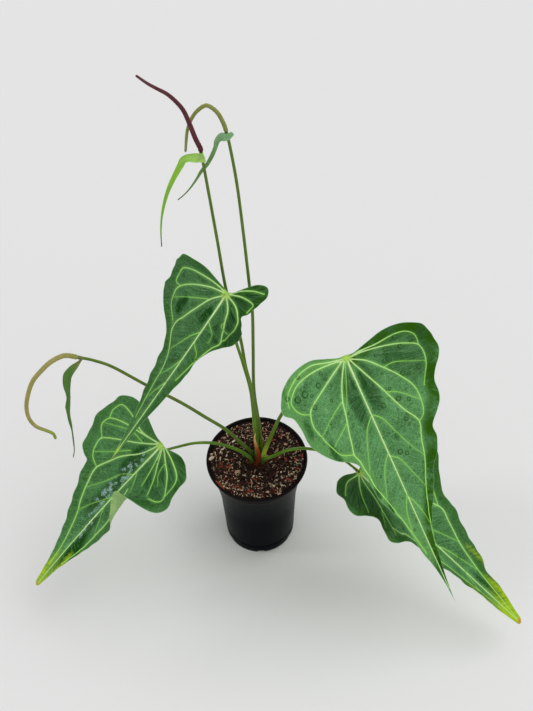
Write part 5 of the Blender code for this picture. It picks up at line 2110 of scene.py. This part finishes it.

# The plain petioles and the flower stalks have a darker foot colour: painted shade where they meet the soil.
PETIOLE = StalkFinish("petiole_skin", rgb(122, 160, 42), rgb(62, 96, 16), rgb(70, 84, 30), rgb(96, 116, 58))
PETIOLE_SHEATHED = StalkFinish(
    "petiole_sheathed_skin", rgb(112, 148, 44), rgb(66, 100, 20), rgb(216, 236, 92), rgb(96, 116, 58))
PEDUNCLE = StalkFinish(
    "peduncle_skin", rgb(120, 146, 52), rgb(70, 98, 24), rgb(56, 78, 26), rgb(126, 144, 74))
TALL_LEFT = Stalk(
    "peduncle_tall_left", "flower_stalk_tall_left", (0.5, 6.2), ((1, 9, 170), (1, 13, 198), (-2, 24, 246),
    (-8, 38, 273), (-12, 52, 302), (-19, 64, 336), (-25, 69, 368), (-30, 72, 435), (-34, 72, 491),
    (-38, 70, 548.5)), 2.1, 1.5, PEDUNCLE, Slot.PEDUNCLE)
TALL_RIGHT = Stalk(
    "peduncle_tall_right", "flower_stalk_tall_right", (5.8, 6.6), ((5.8, 11, 168), (4, 19, 195), (0, 32, 239),
    (1, 48, 290), (2, 60, 339), (0, 66, 376), (-3, 72, 434), (-7, 75, 503), (-11.5, 75, 549), (-14, 75, 566)),
    2.1, 1.5, PEDUNCLE, Slot.PEDUNCLE)
LOW_LEFT = Stalk(
    "peduncle_low_left", "flower_stalk_low_left", (-5.6, 3.6), ((-9, 6, 158), (-19, 10, 169), (-35, 16, 187),
    (-58, 24, 202), (-85, 32, 221), (-121, 36, 250), (-151, 28, 293), (-168, 18, 318), (-181, 8, 336)), 2.1,
    1.6, PEDUNCLE, Slot.PEDUNCLE)
MAROON = SpadixFinish(
    "spadix_maroon_skin", rgb(82, 30, 46), rgb(108, 52, 60), rgb(34, 10, 18), rgb(92, 52, 58))
OLIVE = SpadixFinish(
    "spadix_olive_skin", rgb(126, 140, 66), rgb(152, 154, 86), rgb(78, 88, 36), rgb(150, 160, 92))
BROWN = SpadixFinish(
    "spadix_brown_skin", rgb(146, 150, 78), rgb(172, 158, 98), rgb(88, 90, 36), rgb(136, 156, 60))
LIGHT = StrapFinish(
    "spathe_light_skin", rgb(190, 226, 132), rgb(150, 206, 66), rgb(116, 118, 88), rgb(116, 172, 50))
GREEN = StrapFinish(
    "spathe_green_skin", rgb(160, 208, 160), rgb(122, 162, 88), rgb(122, 122, 104), rgb(96, 142, 74))
OLIVE_GREEN = StrapFinish(
    "spathe_olive_skin", rgb(136, 132, 78), rgb(92, 138, 56), rgb(104, 122, 66), rgb(72, 112, 40))

PETIOLES = (
    (UPPER_LEAF, Stalk(
        "petiole_upper", "stalk_upper", (0, 0), ((0, 1, 175), (-1, 3, 212), (-3, 11, 263), (-10, 24, 296),
        (-17, 39, 318), (-21, 49, 345), (-21.5, 47, 375)), 2.3, 1.4, PETIOLE, Slot.PETIOLE, joint=0.35)),
    (RIGHT_LEAF, Stalk(
        "petiole_right", "stalk_right", (8.2, 1.5), ((9.5, 2, 161), (16, 3, 183), (29, 4, 226), (46, 6, 259),
        (66, 9, 286), (83, 12.5, 302)), 2.3, 1.4, PETIOLE_SHEATHED, Slot.PETIOLE, joint=0.35, sheath=0.5,
        sheath_length=24.0)),
    (LOW_LEFT_LEAF, Stalk(
        "petiole_low_left", "stalk_low_left", (-6, -3.8), ((-9.5, -4, 159), (-20, -2, 169), (-36, 1, 176),
        (-53, 2, 181), (-72, 0, 184), (-90, -5, 185)), 2.2, 1.4, PETIOLE, Slot.PETIOLE, joint=0.4)),
    (LOW_RIGHT_LEAF, Stalk(
        "petiole_low_right", "stalk_low_right", (6.5, -5), ((10.5, -6.5, 157), (21, -9, 166.5),
        (34, -14, 183), (50, -21, 197), (69, -28, 203), (90, -31, 196)), 2.2, 1.4, PETIOLE, Slot.PETIOLE,
        joint=0.35)),
)


@dataclass
class Flower:
    """A flower: its stalk, its spike and its spathe."""

    stalk: Stalk
    spadix: Spadix
    strap: Strap

    def build(self) -> None:
        """Make the stalk, the spike and the spathe."""
        for part in (self.stalk, self.spadix, self.strap):
            part.build()


FLOWERS = (
    Flower(
        TALL_LEFT,
        Spadix(
            "spadix_tall_left", "spike_tall_left", TALL_LEFT, ((-41.7, 67, 566), (-45, 63, 584),
            (-48.7, 57, 603.5), (-53.6, 51, 617.5), (-60, 44, 631), (-67.5, 35, 643.5), (-73, 27, 654),
            (-79, 12, 672)), 2.4, 1.0, MAROON, Slot.SPADIX_MAROON),
        Strap(
            "spathe_tall_left", "strap_tall_left", (2.4, 0, 0.2), ((-41, 65, 547), (-46, 62, 549),
            (-50.7, 59, 550.5), (-54, 57, 549.5), (-56.3, 55, 546), (-60.5, 52, 540), (-65.5, 48, 532.5),
            (-69.6, 45, 524.5), (-73.3, 42, 515), (-76.4, 40, 504), (-78.7, 39, 492.5), (-80.4, 38, 479),
            (-81.5, 38, 461.5)), (4.2, 4.5, 3.4, 2.9, 2.4, 2.0, 1.7, 1.4, 1.1, 0.9, 0.7, 0.6, 0.5), 35.0,
            LIGHT, Slot.SPATHE_LIGHT, TALL_LEFT, foot_share=0.3)),
    Flower(
        TALL_RIGHT,
        Spadix(
            "spadix_tall_right", "spike_tall_right", TALL_RIGHT, ((-16.4, 76, 576), (-20, 77, 584.5),
            (-25, 77, 591), (-30.6, 77, 594), (-36.7, 76, 591), (-42, 75, 585.5), (-46.5, 74, 577),
            (-49.5, 73, 567), (-52.3, 71, 548)), 2.1, 1.2, OLIVE, Slot.SPADIX_OLIVE),
        Strap(
            "spathe_tall_right", "strap_tall_right", (4.8, 0, 3.6), ((-18.3, 74.5, 562), (-22.6, 76, 556),
            (-25.0, 77, 547), (-28.7, 78, 537), (-33.6, 78, 527.5), (-39.9, 77, 519.5), (-44.6, 75, 512.5),
            (-50.4, 72, 505.5), (-56.8, 69, 499.5), (-63.8, 66, 495)),
            (2.6, 4.0, 2.6, 2.0, 2.0, 1.9, 1.8, 1.5, 1.1, 0.8, 0.6, 0.5), 35.0, GREEN, Slot.SPATHE,
            TALL_RIGHT, drop=2.8, foot_share=0.5)),
    Flower(
        LOW_LEFT,
        Spadix(
            "spadix_low_left", "spike_low_left", LOW_LEFT, ((-192, 1, 347.5), (-203, -8, 350),
            (-212, -17, 348), (-222, -26, 341), (-228, -35, 330), (-231, -42, 318), (-230, -47, 306),
            (-225, -49, 295), (-216, -49, 287), (-210, -49, 281), (-209, -49, 272)), 2.7, 1.6, BROWN,
            Slot.SPADIX_BROWN),
        Strap(
            "spathe_low_left", "strap_low_left", (1.2, -0.8, 0.4), ((-182.5, 3, 331), (-187.8, -0.5, 327),
            (-192.7, -3, 318.5), (-195.5, -5, 303.5), (-197, -6, 286.5), (-200.8, -6, 268), (-202.6, -6, 249),
            (-203.4, -6, 229.5), (-205.2, -6, 209.5), (-207.6, -6, 188.5), (-211.4, -6, 173)),
            (1.0, 3.4, 4.7, 3.9, 3.0, 2.1, 2.6, 2.3, 1.7, 1.2, 0.9, 0.8, 0.7, 0.6, 0.5), 35.0, OLIVE_GREEN,
            Slot.SPATHE, LOW_LEFT, wave=0.4)),
)

SHEATH = Strap(
    "cataphyll", "sheath", (-2.0, -8.8, 147.7), ((-1.2, -9.2, 151.6), (1.4, -9.5, 159), (2.6, -9.5, 170),
    (1.5, -9.3, 181), (-0.3, -9, 191), (-1.2, -8.5, 202.5), (0.1, -8, 211)),
    (1.9, 2.5, 2.5, 2.1, 1.6, 1.2, 0.5), 25.0, StrapFinish("sheath_skin", rgb(72, 8, 4), rgb(232, 120, 34),
    rgb(255, 232, 140), rgb(150, 54, 16), 0.55, 0.2), Slot.SHEATH, tip_share=0.52, foot_share=1.4)


def main() -> None:
    """Build every part of the plant round the frame, and the studio."""
    logging.basicConfig(level=logging.INFO, format="%(message)s")
    Studio().build()
    pot = Pot()
    for part in (pot, Soil(pot), Stem(), SHEATH):
        part.build()
    upper, under, water = BladeFinish().material(), BladeBackFinish().material(), WaterFinish().material()
    for leaf, stalk in PETIOLES:
        leaf.build_blade(upper, under)
        leaf.build_drops(water)
        stalk.route = (*stalk.route, *leaf.seat_places())
        stalk.build()
    for flower in FLOWERS:
        flower.build()


if __name__ == "__main__":
    main()
